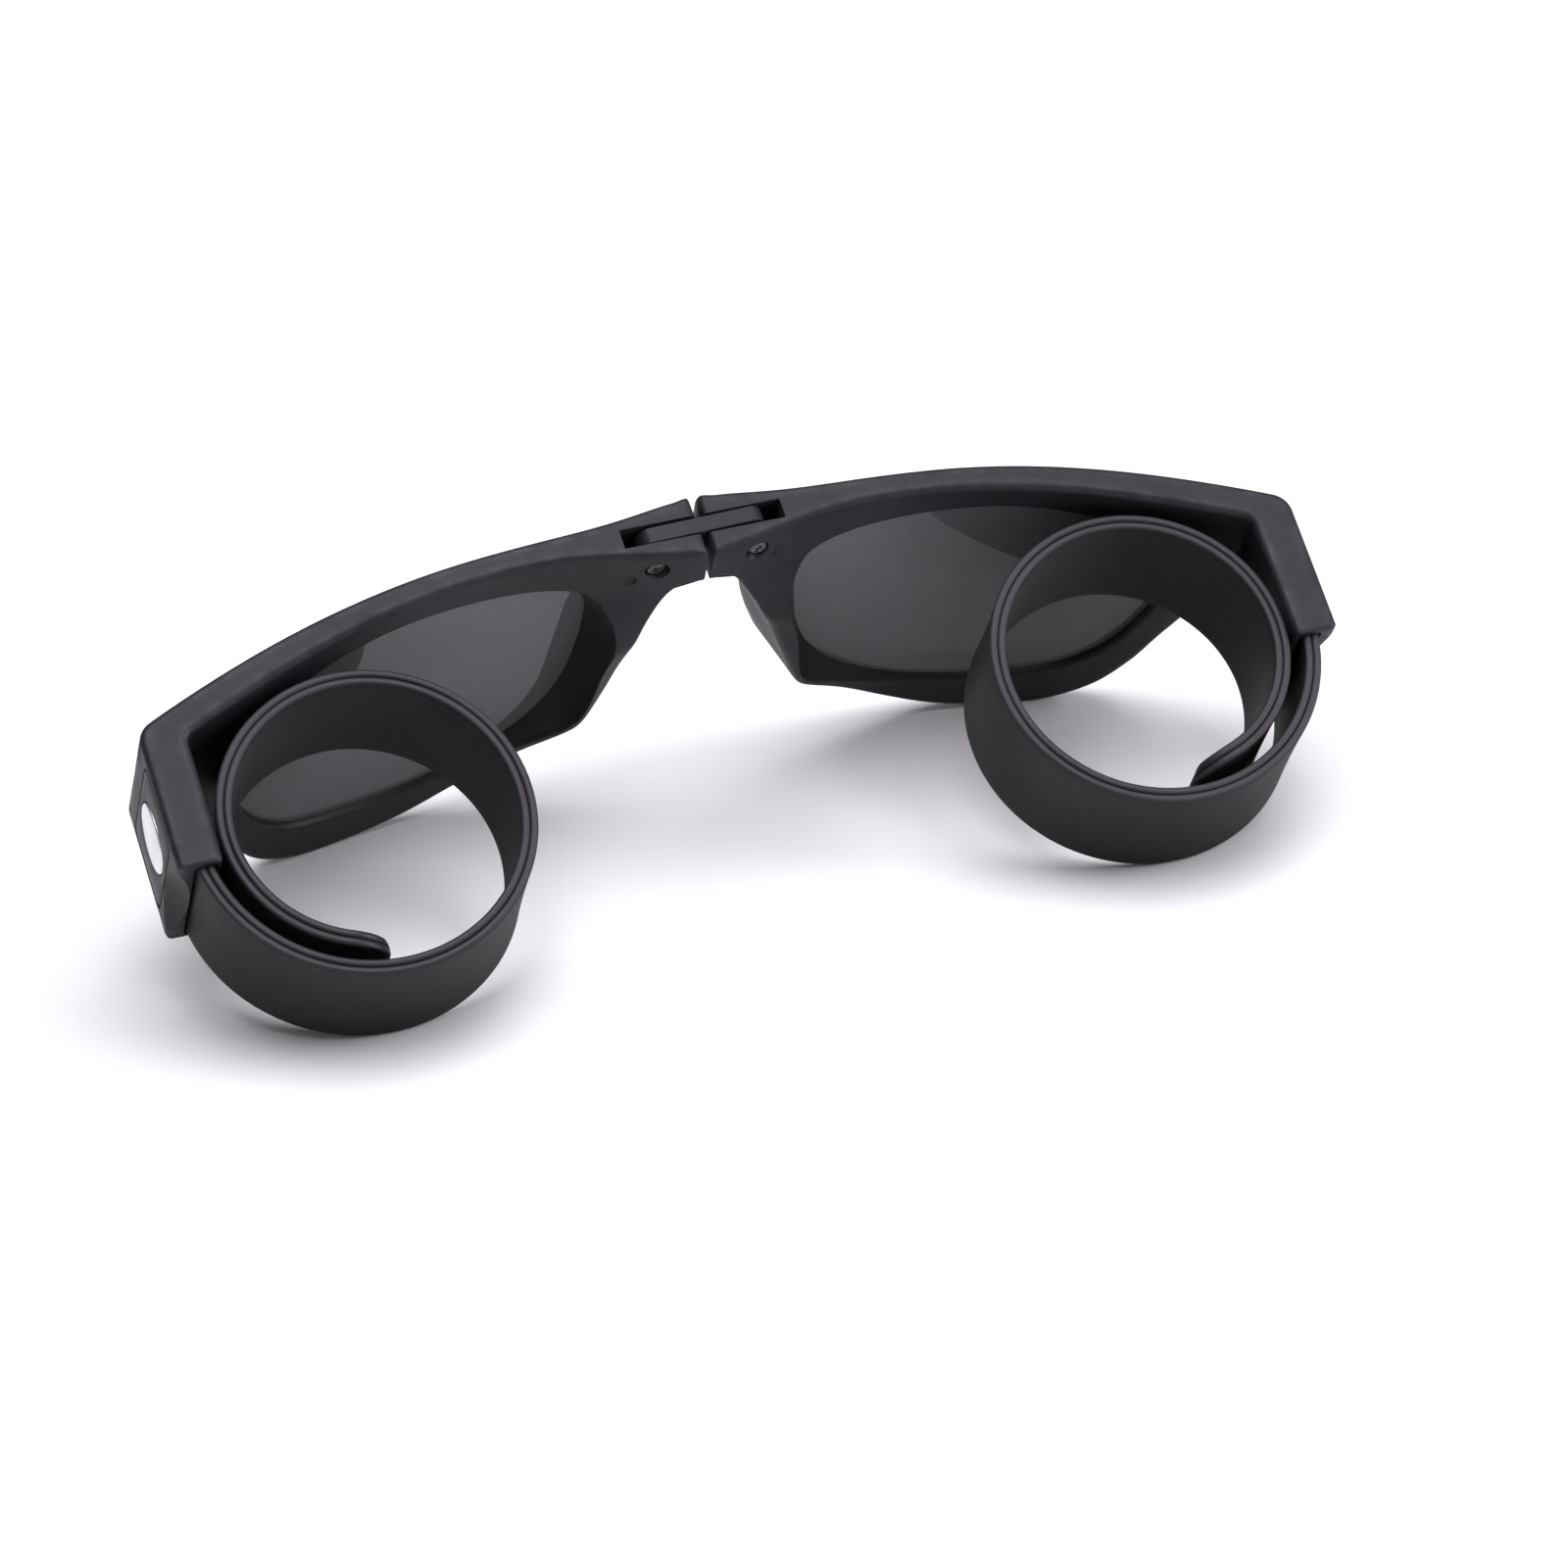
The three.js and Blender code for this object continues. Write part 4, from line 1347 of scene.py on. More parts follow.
    def rear_rows(self, sheet: FrontSheet, rays: RimRays, flare: Array) -> list[Row]:
        """Rows across the rear face, from the outline to the flared opening.

        Args:
            sheet: the front's sheet.
            rays: the half's rays.
            flare: how far the opening is flared at the rear.

        Returns:
            The rows, with the full depth less the fall at both edges.
        """
        rows = []
        for wz in self.face(rays, flare):
            mouth_gap = np.maximum(np.linalg.norm(wz - rays.inner, axis=1) - flare, 0.0)
            drop, near = self.fall(sheet, rays, wz, mouth_gap)
            rows.append((wz, sheet.depth(wz[:, 0], wz[:, 1]) - drop, near))
        return rows

    def throat_rows(
        self, sheet: FrontSheet, rays: RimRays, flare: Array, lens_front: Array, lens_rear: Array
    ) -> list[Row]:
        """Rows down the wall behind the lens and round the lens groove.

        Args:
            sheet: the front's sheet.
            rays: the half's rays.
            flare: how far the wall leans out at the rear.
            lens_front: depth of the groove's front.
            lens_rear: depth of the groove's rear.

        Returns:
            The rows, from the rear face to the front of the groove.
        """
        plain = np.zeros(len(flare))
        brim = sheet.depth(*rays.out(flare).T) - self.mouth_round
        lens_rear = np.minimum(lens_rear, brim)
        rows = []
        for share in np.linspace(0.0, 1.0, self.throat_steps)[1:]:
            rows.append((rays.out(flare * (1 - share)), brim + (lens_rear - brim) * share, plain))
        lip = rays.out(plain + self.groove)
        return [*rows, (lip, lens_rear, plain), (lip, lens_front, plain), (rays.inner, lens_front, plain)]

    def flare(self, sheet: FrontSheet, rays: RimRays, lens_rear: Array) -> Array:
        """How far the wall behind the lens leans out, most on the nose's side.

        The lean is a share of the wall's height. That depends on where the wall ends, so the lean
        is worked out in a few rounds.

        Args:
            sheet: the front's sheet.
            rays: the half's rays.
            lens_rear: depth at which the wall starts.

        Returns:
            The lean along each ray.
        """
        plan = sheet.plan
        x = sheet.at(rays.inner[:, 0], sheet.front[:, 0])
        nasal = bell((x - plan.lens_x) / plan.lens_width, 0.0, self.flare_spread)
        flare = np.zeros(len(x))
        for _ in range(self.flare_rounds):
            wall = np.maximum(sheet.depth(*rays.out(flare).T) - lens_rear, 0.0)
            flare = np.minimum(self.flare_slope * nasal * wall, self.flare_limit * rays.length)
        return flare

    def skin(self, sheet: FrontSheet) -> tuple[Array, Array, Array]:
        """The half's closed skin before it is carved.

        Args:
            sheet: the front's sheet.

        Returns:
            Points, faces and how near each point is to an edge.
        """
        rays = self.rays(sheet)
        set_back = sheet.sag(rays.inner)
        lens_front = sheet.plan.lens_front - self.slack + set_back
        lens_rear = sheet.plan.lens_rear + self.slack + set_back
        flare = self.flare(sheet, rays, lens_rear)
        rows = [
            *self.front_rows(sheet, rays),
            *self.edge_rows(sheet, rays),
            *self.rear_rows(sheet, rays, flare),
            *self.throat_rows(sheet, rays, flare, lens_front, lens_rear),
        ]
        points = np.concatenate([sheet.place(wz, level, lean=True) for wz, level, _ in rows])
        faces = grid_faces(len(rows), len(flare), True, True)
        return points, outward(points, faces), np.concatenate([near for _, _, near in rows])

    def build(self, sheet: FrontSheet) -> bpy.types.Object:
        """The right half, carved for the link, the screw, the cover, the band and the thumb.

        Args:
            sheet: the front's sheet.

        Returns:
            The moulding.
        """
        points, faces, near = self.skin(sheet)
        half = mesh_object("right_moulding", points, faces, self.sharp)
        mark_edges(half, near)
        cutters = [
            LinkPlate().slot(), PivotScrew().recess(), TempleCover().seat(), Band().socket(),
            self.scallop(sheet.plan), self.dimple(sheet),
        ]
        carve(half, cutters, self.carved_sharp)
        return half

    def scallop(self, plan: FrontPlan) -> bpy.types.Object:
        """A ball that takes a thumb hollow out of the stub's outer rear corner.

        Args:
            plan: the front's sizes.

        Returns:
            The cutter.
        """
        reach = self.scallop_radius - self.scallop_depth
        turn = math.radians(self.scallop_turn)
        middle = np.array([
            plan.half_width + reach * math.cos(turn),
            plan.stub_rear_y - reach * math.sin(turn),
            -plan.stub_height / 2,
        ])
        return ball("scallop_cutter", middle, self.scallop_radius, self.scallop_rows)

    def dimple(self, sheet: FrontSheet) -> bpy.types.Object:
        """A ball that leaves a shallow round mould mark beside the screw.

        Args:
            sheet: the front's sheet.

        Returns:
            The cutter.
        """
        spot = sheet.to_sheet(np.array([self.dimple_spot]))
        surface = sheet.place(spot, sheet.depth(*spot.T), lean=True)[0]
        middle = surface - [0.0, self.dimple_radius - self.dimple_depth, 0.0]
        return ball("dimple_cutter", middle, self.dimple_radius, self.dimple_rows)


@dataclass(frozen=True)
class LensPane:
    """A lens: two matching curved faces and a rim that sits in the groove."""

    lip: float = 0.9
    rings: int = 30
    spacing: float = 0.5
    hub_share: float = 0.02
    sharp: float = 50.0

    def build(self, sheet: FrontSheet) -> bpy.types.Object:
        """The right lens: rings from the middle out over the front, and back over the rear.

        Args:
            sheet: the front's sheet.

        Returns:
            The pane.
        """
        loop = even(sheet.opening(), self.spacing, closed=True)
        middle = loop.mean(0)
        away = loop - middle
        size = np.linalg.norm(away, axis=1, keepdims=True)
        loop = middle + away * (1 + self.lip / size)
        shares = np.linspace(self.hub_share, 1.0, self.rings)
        disc = [middle + (loop - middle) * s for s in shares]
        rows = [sheet.place(d, sheet.plan.lens_front + sheet.sag(d)) for d in disc]
        rows += [sheet.place(d, sheet.plan.lens_rear + sheet.sag(d)) for d in disc[::-1]]
        points, faces = capped_tube(np.stack(rows))
        return mesh_object("right_pane", points, faces, self.sharp)


@dataclass(frozen=True)
class LinkPlate:
    """The flat link that joins the halves, and the slot that it lies in."""

    radius: float = 1.7
    rise: float = 2.8
    thickness: float = 2.1
    edge: float = 0.16
    edge_steps: int = 6
    face_insets: tuple = (1.2, 0.6)
    end_points: int = 40
    skew: float = 0.02
    clearance: float = 0.2
    pocket: float = 2.0
    overrun: float = 4.0
    floor_gap: float = 0.1
    corner: float = 0.12
    corner_steps: int = 4
    chamfer: float = 0.12
    chamfer_z: tuple = (1.5, 1.68)
    slot_top: float = 5.0

    def loop(self, inset: float) -> Array:
        """The link's outline: half an ellipse about each pivot, taller above than below.

        Args:
            inset: how far it is drawn in.

        Returns:
            A closed loop of (x, z).
        """
        turn = np.linspace(-math.pi / 2, math.pi / 2, self.end_points)
        tall = np.where(turn > 0, self.rise, self.radius) - inset
        x = PIVOT[0] + (self.radius - inset) * np.cos(turn)
        right = np.stack([x, PIVOT[2] + tall * np.sin(turn)], -1)
        return np.vstack([right, right[::-1] * [-1, 1]])

    def build(self) -> bpy.types.Object:
        """The link, with edges rounded by quarter circles, a little askew in its slot.

        Returns:
            The plate.
        """
        half = self.thickness / 2
        turn = np.linspace(0.0, math.pi / 2, self.edge_steps)
        levels = [(inset, half) for inset in self.face_insets]
        levels += [(self.edge * (1 - math.sin(a)), half - self.edge * (1 - math.cos(a))) for a in turn]
        levels += [(inset, -y) for inset, y in levels[::-1]]
        rows = []
        for inset, y in levels:
            xz = self.loop(inset)
            rows.append(np.stack([xz[:, 0], PIVOT[1] + y + self.skew * xz[:, 0], xz[:, 1]], -1))
        return prism("link_plate", rows)

    def slot(self) -> bpy.types.Object:
        """The slot's cutter, with a small chamfer where it meets the brow's top.

        Returns:
            A rounded box from past the middle to the slot's end.
        """
        end = PIVOT[0] + self.radius + self.pocket
        wide = self.thickness / 2 + self.clearance
        long = (end + self.overrun) / 2
        middle = np.array([(end - self.overrun) / 2, PIVOT[1]])
        floor = PIVOT[2] - self.radius - self.clearance - self.floor_gap
        low, high = self.chamfer_z
        loops = []
        for z, grow in ((floor, 0.0), (low, 0.0), (high, self.chamfer), (self.slot_top, self.chamfer)):
            ring = round_box(long + grow, wide + grow, self.corner, self.corner_steps) + middle
            loops.append(np.column_stack([ring, np.full(len(ring), z)]))
        return prism("slot_cutter", loops)


@dataclass(frozen=True)
class PivotScrew:
    """A cross-head screw sunk in the bridge's rear face."""

    # The head and the shank
    head: float = 1.18
    face_y: float = 7.25
    head_height: float = 0.75
    crown: float = 0.16
    rim_drop: float = 0.12
    rim_share: float = 0.9
    shank: float = 0.8
    shank_end_y: float = 12.4
    head_rows: int = 46
    hub_share: float = 0.015
    round_points: int = 120
    sharp: float = 45.0

    # The cross
    arm: float = 0.82
    arm_ease: float = 0.16
    half_slot: float = 0.18
    slot_ease: float = 0.1
    cross_depth: float = 0.34
    cross_turn: float = 24.0

    # The recess: y, and how much wider than the hole
    hole: float = 1.42
    recess_levels: tuple = ((8.1, 0.0), (7.1, 0.0), (6.75, 0.25), (3.0, 0.5))
    recess_points: int = 64

    @staticmethod
    def ring(radius: float, y: float, count: int) -> Array:
        """A circle about the pivot's axis.

        Args:
            radius: its radius.
            y: where it is along the axis.
            count: how many points it has.

        Returns:
            Worn points in a closed loop.
        """
        turn = circle(count)
        x, z = PIVOT[0] + radius * np.cos(turn), PIVOT[2] + radius * np.sin(turn)
        return np.stack([x, np.full(count, y), z], -1)

    def recess(self) -> bpy.types.Object:
        """The recess round the head, with a chamfered mouth.

        Returns:
            The cutter.
        """
        return prism("recess_cutter", [
            self.ring(self.hole + grow, y, self.recess_points) for y, grow in self.recess_levels
        ])

    def arm_at(self, across: Array, along: Array) -> Array:
        """1 inside one slot of the cross and 0 outside, with soft walls."""
        wall = smooth(self.half_slot + self.slot_ease / 2 - np.abs(across), 0.0, self.slot_ease)
        return wall * smooth(self.arm - np.abs(along), 0.0, self.arm_ease)

    def build(self) -> bpy.types.Object:
        """The screw: a crowned head with a cross pressed into it, on its shank.

        The head is a parabola that drops at its rim. The cross is two slots, square to each other.

        Returns:
            The right screw.
        """
        share = np.linspace(self.hub_share, 1.0, self.head_rows)[:, None]
        turn = circle(self.round_points)
        u, v = self.head * share * np.cos(turn), self.head * share * np.sin(turn)
        tilt = math.radians(self.cross_turn)
        a, b = u * math.cos(tilt) - v * math.sin(tilt), u * math.sin(tilt) + v * math.cos(tilt)
        cross = np.maximum(self.arm_at(a, b), self.arm_at(b, a)) * self.cross_depth
        rim = self.rim_drop * smooth(share, self.rim_share, 1.0)
        y = self.face_y - self.crown * (1 - share**2) + rim + cross
        head = np.stack([PIVOT[0] + u, y, PIVOT[2] + v], -1)
        foot_y = self.face_y + self.head_height
        shank = [
            self.ring(radius, at, self.round_points)
            for radius, at in ((self.head, foot_y), (self.shank, foot_y), (self.shank, self.shank_end_y))
        ]
        points, faces = capped_tube(np.concatenate([head, shank]))
        return mesh_object("right_screw", points, faces, self.sharp)


@dataclass(frozen=True)
class BadgePlate:
    """A plain satin plate: an oval with a soft crown and a chamfered edge."""

    half: tuple = (4.4, 4.0)
    middle: tuple = (-10.3, -9.75)
    proud: float = 0.2
    thickness: float = 0.7
    crown: float = 0.05
    crown_rows: int = 18
    crown_shares: tuple = (0.03, 0.92)
    chamfer: tuple = ((0.955, 0.075), (0.985, 0.14), (1.0, 0.25))
    foot_share: float = 0.5
    points: int = 140
    sharp: float = 50.0

    def oval(self, turn: Array, gap: float = 0.0) -> Array:
        """The oval's points at these angles, grown by a gap."""
        return np.stack([(self.half[0] + gap) * np.cos(turn), (self.half[1] + gap) * np.sin(turn)], -1)

    def build(self) -> bpy.types.Object:
        """The right badge: ovals that drop away as a parabola, then down the chamfer.

        Returns:
            The plate.
        """
        oval = self.oval(circle(self.points))
        levels = [(s, self.crown * s * s) for s in np.linspace(*self.crown_shares, self.crown_rows)]
        levels += [*self.chamfer, (1.0, self.thickness), (self.foot_share, self.thickness)]
        face_x = FrontPlan.half_width + self.proud
        rows = [stood(oval * share + self.middle, face_x - drop) for share, drop in levels]
        points, faces = capped_tube(np.stack(rows))
        return mesh_object("right_plate", points, faces, self.sharp)


@dataclass(frozen=True)
class TempleCover:
    """The plate in the stub's outer face, with a hole for the badge.

    The profile gives shares of the way from the hole to the outer edge, with the drop there. The
    seat's levels give places across the stub's outer face, with how much wider the seat is there.
    """

    badge: BadgePlate = BadgePlate()
    badge_gap: float = 0.16
    half_length: float = 5.5
    half_height: float = 8.45
    corner: float = 1.5
    gap: float = 0.16
    thickness: float = 1.2
    face_x: float = FrontPlan.half_width
    profile: tuple = (
        (0.0, 0.25), (0.02, 0.07), (0.06, 0.0), (0.5, 0.0), (0.94, 0.0), (0.98, 0.07), (1.0, 0.25),
    )
    seat_levels: tuple = ((-1.35, 0.0), (-0.2, 0.0), (0.25, 0.3), (3.0, 0.3))
    spacing: float = 0.25
    sharp: float = 60.0

    def box(self, grow: float) -> Array:
        """The plate's outline, grown by a distance."""
        return round_box(self.half_length + grow, self.half_height + grow, self.corner + grow)

    def seat(self) -> bpy.types.Object:
        """The seat in the stub's outer face, with a chamfered mouth.

        Returns:
            The cutter.
        """
        return prism("seat_cutter", [
            stood(self.box(self.gap + grow) + self.badge.middle, self.face_x + x)
            for x, grow in self.seat_levels
        ])

    def build(self) -> bpy.types.Object:
        """The cover: a rounded plate with a round-edged oval hole, as one ring.

        Returns:
            The right cover.
        """
        outer = even(self.box(0.0), self.spacing, closed=True)
        turn = np.arctan2(outer[:, 1] / self.half_height, outer[:, 0] / self.half_length)
        oval = self.badge.oval(turn, self.badge_gap)
        rows = [
            stood(oval + (outer - oval) * share + self.badge.middle, self.face_x - drop)
            for share, drop in (*self.profile, (1.0, self.thickness), (0.0, self.thickness))
        ]
        points = np.concatenate(rows)
        faces = outward(points, grid_faces(len(rows), len(outer), True, True))
        return mesh_object("right_cover", points, faces, self.sharp)


@dataclass(frozen=True)
class Band:
    """The wrap band: a coil whose radius shrinks from the stub to the tip, skinned link by link."""

    # The coil
    start_x: float = 69.9
    start_y: float = -19.6
    heading: float = 10.0
    length: float = 140.0
    start_radius: float = 20.75
    end_radius: float = 16.2
    links: int = 10
    tail: float = 6.5
    tail_bend: float = 3.0
    step: float = 0.02

    # The section and the tip
    half: float = 1.0
    height: float = 17.5
    middle_z: float = -FrontPlan.stub_height / 2
    lip: float = 0.36
    lip_points: int = 11
    waist: float = 0.14
    wall_points: int = 17
    tip_round: float = 5.0
    tip_thin: float = 0.9
    tip_rows: int = 10
    tip_clear: float = 0.1
    thinnest: float = 0.999
    spacing: float = 0.35
    sharp: float = 42.0

    # How the skin pieces turn and meet
    root_turn: float = -0.5
    reach: float = 12.0
    second_reach: tuple = (0.5, 6.8)
    tongue: tuple = (0.02, 0.5)
    tuck: float = 0.04

    # The socket in the stub: y, and how much wider than the slot
    socket_slack: tuple = (0.3, 0.15)
    socket_corner: float = 0.4
    socket_steps: int = 6
    socket_levels: tuple = ((-11.3, 0.0), (-19.1, 0.0), (-19.5, 0.3), (-22.0, 0.3))

    def path(self) -> tuple[Array, Array, Array, Array]:
        """The band's centre line: heading is the running sum of one over the radius.

        Returns:
            Length, x, y and heading, from the tail in the socket to the tip.
        """
        s = np.arange(0.0, self.length + self.step / 2, self.step)
        bend = 1 / (self.start_radius + (self.end_radius - self.start_radius) * s / self.length)
        heading = math.radians(self.heading) + running((bend[1:] + bend[:-1]) / 2 * self.step)
        back = np.arange(-self.tail, -self.step / 2, self.step)
        ramp = math.radians(self.heading) * smooth(back, -self.tail_bend, 0.0)
        s, heading = np.concatenate([back, s]), np.concatenate([ramp, heading])
        middle = (heading[1:] + heading[:-1]) / 2
        x, y = running(-np.sin(middle) * self.step), running(-np.cos(middle) * self.step)
        root = len(back)
        return s, x - x[root] + self.start_x, y - y[root] + self.start_y, heading

    def section(self) -> tuple[Array, Array, Array]:
        """The band's section: two rounded lips at each edge and waisted walls between.

        Returns:
            Offset from the centre line, the side (1 up, -1 down, 0 wall) and the height share or drop.
        """
        turn = np.linspace(0.0, math.pi, self.lip_points)
        lips = np.concatenate([0.5 + 0.5 * np.cos(turn), (-0.5 + 0.5 * np.cos(turn))[1:]])
        drop = self.lip * (1 - np.concatenate([np.sin(turn), np.sin(turn)[1:]]))
        wall = np.linspace(1.0, -1.0, self.wall_points)[1:-1]
        narrow = 1.0 - self.waist * (1 - wall**2)
        offset = np.concatenate([lips, -narrow, -lips, narrow])
        side = np.repeat([1.0, 0.0, -1.0, 0.0], [len(lips), len(wall), len(lips), len(wall)])
        value = np.concatenate([drop, wall, drop, wall[::-1]])
        return offset * self.half, side, value

    def rings(self, lengths: Array, tuck: Array) -> Array:
        """Rings of points round the band. The tip's height and thickness end in quarter circles.

        Args:
            lengths: where along the band.
            tuck: how far each ring is drawn in.

        Returns:
            Worn points as rings x corners x 3.
        """
        s, x, y, heading = self.path()
        px, py, ph = (np.interp(lengths, s, v)[:, None] for v in (x, y, heading))
        offset, side, value = self.section()
        past = np.maximum(lengths - (self.length - self.tip_round), 0.0)
        tall = self.height / 2 - self.tip_round + np.sqrt(np.maximum(self.tip_round**2 - past**2, 0.0))
        end = np.clip((lengths - (self.length - self.tip_thin)) / self.tip_thin, 0.0, self.thinnest)
        thin = (np.sqrt(1 - end**2) - tuck / self.half)[:, None]
        tall = (tall - tuck)[:, None]
        z = np.where(side == 0, value * (tall - self.lip), side * (tall - value))
        out = offset[None] * thin
        return np.stack([px + np.cos(ph) * out, py - np.sin(ph) * out, self.middle_z + z], -1)

    def socket(self) -> bpy.types.Object:
        """The cutter of the slot in the stub that holds the band's tail, with a chamfered mouth.

        Returns:
            A rounded box that widens at the stub's rear.
        """
        wide, tall = self.half + self.socket_slack[0], self.height / 2 + self.socket_slack[1]
        loops = []
        for y, grow in self.socket_levels:
            ring = round_box(wide + grow, tall + grow, self.socket_corner + grow, self.socket_steps)
            ring = ring + [self.start_x, self.middle_z]
            loops.append(np.insert(ring, 1, y, axis=1))
        return prism("socket_cutter", loops)

    def stations(self) -> list[tuple[float, float]]:
        """Where each skin piece starts and ends.

        Returns:
            Pairs of lengths: from the tail, then from link middle to link middle, then to the tip.
        """
        link = self.length / self.links
        middles = [link * (k + 0.5) for k in range(self.links)]
        return list(zip([-self.tail, *middles], [*middles, self.length]))

    def turn(self, number: int) -> tuple[Array, Array]:
        """The worn points between which a skin piece turns.

        They lie on the chord through the piece's ends, past the ends by the reach. Neighbours then
        share a link's middle in equal parts, which evens out the opened band. The piece in the stub
        has no reach, the one after it less, and the tip turns with the piece before it.

        Args:
            number: the piece's place along the band, 0 at the stub.

        Returns:
            The start and the end of the turn.
        """
        number = min(number, self.links - 1)
        start, end = self.stations()[number]
        before, after = {0: (0.0, 0.0), 1: self.second_reach}.get(number, (self.reach, self.reach))
        s, x, y, _ = self.path()
        at = np.array([max(start, self.root_turn), end])
        first, last = np.stack([np.interp(at, s, x), np.interp(at, s, y), np.full(2, self.middle_z)], -1)
        along = (last - first) / np.linalg.norm(last - first)
        return first - along * before, last + along * after

    def build(self, number: int) -> bpy.types.Object:
        """One skin piece. A tucked tongue at its end lies inside the next piece.

        Args:
            number: 0 for the piece that leaves the stub, links for the tip.

        Returns:
            The right band's piece.
        """
        start, end = self.stations()[number]
        lengths = np.linspace(start, end, int(round((end - start) / self.spacing)) + 1)
        if number == self.links:
            fine = end - self.tip_thin * (1 - np.sin(np.linspace(0, math.pi / 2, self.tip_rows)))
            lengths = np.concatenate([lengths[lengths < fine[0] - self.tip_clear], fine])
        else:
            lengths = np.concatenate([lengths, end + np.array(self.tongue)])
        points, faces = capped_tube(self.rings(lengths, np.where(lengths > end, self.tuck, 0.0)))
        piece = mesh_object(f"right_band_skin_{number:02d}", points, faces, self.sharp)
        _, side, value = self.section()
        # crest: how near each point is to a lip's crest, where the silicone paints its highlight
        crest = np.where(side == 0, 0.0, np.clip(1 - value / self.lip, 0.0, 1.0))
        mark_edges(piece, np.tile(crest, len(lengths)))
        return piece


# Assembly

class Sunglasses:
    """Builds every piece on both sides, and hangs the halves' pieces and the link on their bodies."""

    def __init__(self, palette: Palette) -> None:
        """Keeps the finishes and the front's sheet."""
        self.palette = palette
        self.sheet = FrontSheet(FrontPlan())

    def pair(self, piece: bpy.types.Object) -> list[tuple[Side, bpy.types.Object]]:
        """A right piece and its mirror image, with their sides."""
        twin = mirror_of(piece, piece.name.replace("right_", "left_"))
        return [(Side.RIGHT, piece), (Side.LEFT, twin)]

    def halves(self) -> None:
        """The mouldings, lenses, screws, covers and badges."""
        paint = self.palette
        for piece, material, slot, node in (
            (FrameHalf().build(self.sheet), paint.frame, "frame", "frame_half"),
            (LensPane().build(self.sheet), paint.lens, "lens", "lens"),
            (PivotScrew().build(), paint.screw, "screw", "pivot_screw"),
            (TempleCover().build(), paint.frame, "cover", "temple_cover"),
            (BadgePlate().build(), paint.badge, "badge", "badge"),
        ):
            for side, twin in self.pair(piece):
                dress(twin, material, slot, f"{side.label}_{node}")
                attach(twin, f"{side.label}_half")

    def link(self) -> None:
        """The plate between the halves."""
        plate = LinkPlate().build()
        dress(plate, self.palette.frame, "link", "bridge_link")
        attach(plate, "bridge")

    def bands(self) -> None:
        """The skins of both bands, piece by piece from the stub to the tip."""
        band = Band()
        for number in range(band.links + 1):
            for side, twin in self.pair(band.build(number)):
                self.hang_skin(twin, side, number, band)

    def hang_skin(self, piece: bpy.types.Object, side: Side, number: int, band: Band) -> None:
        """Dresses one skin piece.

        Args:
            piece: the skin.
            side: which band it is on.
            number: its place along the band, 0 at the stub.
            band: the right band, which says where the piece turns.
        """
        label = side.label
        nodes = [f"{label}_band_root"]
        if number:
            nodes = [f"{label}_band_sleeve_{number:02d}", f"{label}_spring_strip_{number:02d}"]
        dress(piece, self.palette.silicone, "silicone", *nodes)
        start, end = WORN.row(np.stack(band.turn(number)) * [side.value, 1.0, 1.0])
        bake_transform(piece)

    def hidden(self) -> None:
        """Finishes for the carried-over solids that stay inside."""
        for side in Side:
            insert = frame["nodes"][f"{side.label}_thread_insert"]
            insert.data.materials.clear()
            insert.data.materials.append(self.palette.brass)

    def build(self) -> None:
        """All pieces in order."""
        self.halves()
        self.link()
        self.bands()
        self.hidden()


# Stage

@dataclass(frozen=True)
class Panel:
    """One soft rectangular light, in metres and watts."""

    name: str
    place: tuple
    aim: tuple
    size: tuple
    power: float

    def hang(self, tint: tuple) -> None:
        """Adds the light to the scene, facing its aim.

        Args:
            tint: the light's colour.
        """
        data = bpy.data.lights.new(self.name, "AREA")
        data.shape = "RECTANGLE"
        data.size, data.size_y = self.size
        data.energy = self.power
        data.color = tint
        made = linked(self.name, data)
        made.location = self.place
        made.rotation_mode = "QUATERNION"
        made.rotation_quaternion = (Vector(self.aim) - Vector(self.place)).to_track_quat("-Z", "Y")


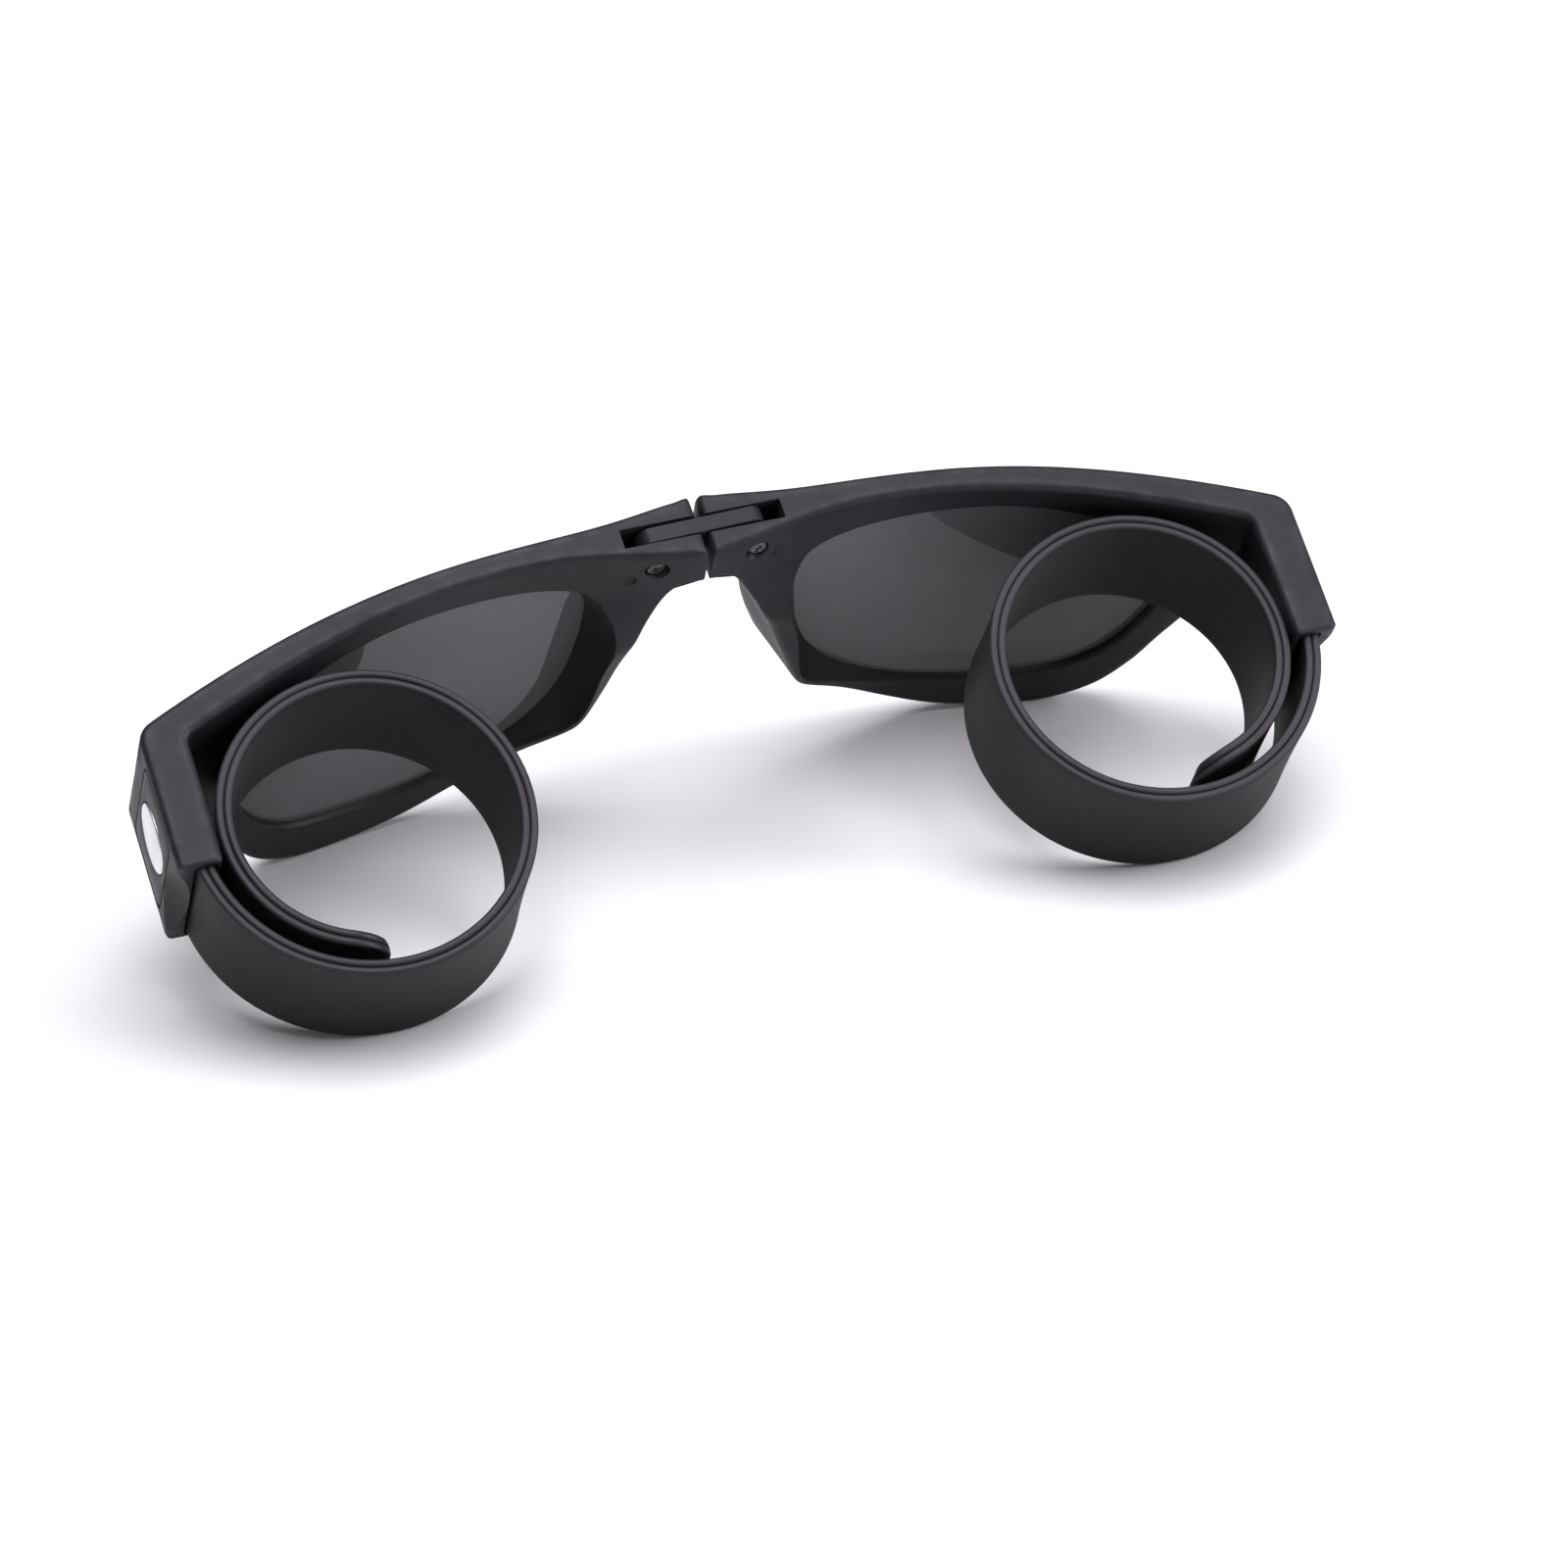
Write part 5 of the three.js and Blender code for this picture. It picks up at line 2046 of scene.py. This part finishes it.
@dataclass(frozen=True)
class Studio:
    """A pale floor, soft lights and the photo's camera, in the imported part's frame."""

    # The camera, in degrees, millimetres and pixels
    azimuth: float = -18.313
    elevation: float = 29.987
    roll: float = -2.575
    distance: float = 795.8
    offset: tuple = (-5.387, -10.359)
    focal_px: float = 6594.2
    sensor: float = 36.0
    clip: tuple = (0.05, 20.0)

    # The floor, in metres, just under the glasses
    floor: tuple = (0.76, 0.76, 0.76)
    floor_half: float = 3.0
    floor_z: float = -0.05 * MM
    floor_rough: float = 0.9
    floor_specular: float = 0.2

    # The lights
    tint: tuple = (0.97, 0.945, 1.0)
    surroundings: float = 0.28
    panels: tuple = (
        Panel("top_panel", (0.0, -0.12, 1.1), (0.0, 0.0, 0.0), (1.1, 1.1), 19.5),
        Panel("side_panel", (0.9, -0.4, 0.45), (0.0, 0.0, 0.02), (0.6, 0.6), 9.0),
    )

    def camera(self) -> None:
        """The camera: right, up and back from azimuth and elevation, then rolled."""
        a, e, r = (math.radians(v) for v in (self.azimuth, self.elevation, self.roll))
        back = Vector((math.sin(a) * math.cos(e), -math.cos(a) * math.cos(e), math.sin(e)))
        right = Vector((math.cos(a), math.sin(a), 0.0))
        up = back.cross(right)
        right, up = right * math.cos(r) + up * math.sin(r), up * math.cos(r) - right * math.sin(r)
        data = bpy.data.cameras.new("photo_camera")
        data.sensor_width = self.sensor
        data.lens = self.focal_px / IMAGE_SIZE * self.sensor
        data.clip_start, data.clip_end = self.clip
        made = linked("photo_camera", data)
        made.matrix_world = Matrix((right, up, back)).transposed().to_4x4()
        made.location = (back * self.distance - right * self.offset[0] - up * self.offset[1]) * MM
        bpy.context.scene.camera = made
        bpy.context.scene.view_settings.view_transform = "Standard"

    def ground(self) -> None:
        """A wide matt floor."""
        mesh = bpy.data.meshes.new("studio_floor")
        wide, low = self.floor_half, self.floor_z
        corners = [(-wide, -wide, low), (wide, -wide, low), (wide, wide, low), (-wide, wide, low)]
        mesh.from_pydata(corners, [], [(0, 1, 2, 3)])
        floor = linked("studio_floor", mesh)
        paint = Paint("floor_card")
        paint.set(
            Base_Color=(*self.floor, 1.0),
            Roughness=self.floor_rough,
            Specular_IOR_Level=self.floor_specular,
        )
        mesh.materials.append(paint.material)

    def lights(self) -> None:
        """Pale surroundings, a large panel overhead and a smaller one at the right."""
        world = bpy.data.worlds.new("studio_world")
        bpy.context.scene.world = world
        world.use_nodes = True
        sky = world.node_tree.nodes["Background"]
        sky.inputs["Color"].default_value = (*self.tint, 1.0)
        sky.inputs["Strength"].default_value = self.surroundings
        for panel in self.panels:
            panel.hang(self.tint)

    def build(self) -> None:
        """Camera, floor and lights."""
        self.camera()
        self.ground()
        self.lights()


def main() -> None:
    """Builds the studio and the glasses."""
    logging.basicConfig(level=logging.INFO, format="%(name)s: %(message)s")
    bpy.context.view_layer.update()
    Studio().build()
    Sunglasses(Palette.mixed()).build()


if __name__ == "__main__":
    main()
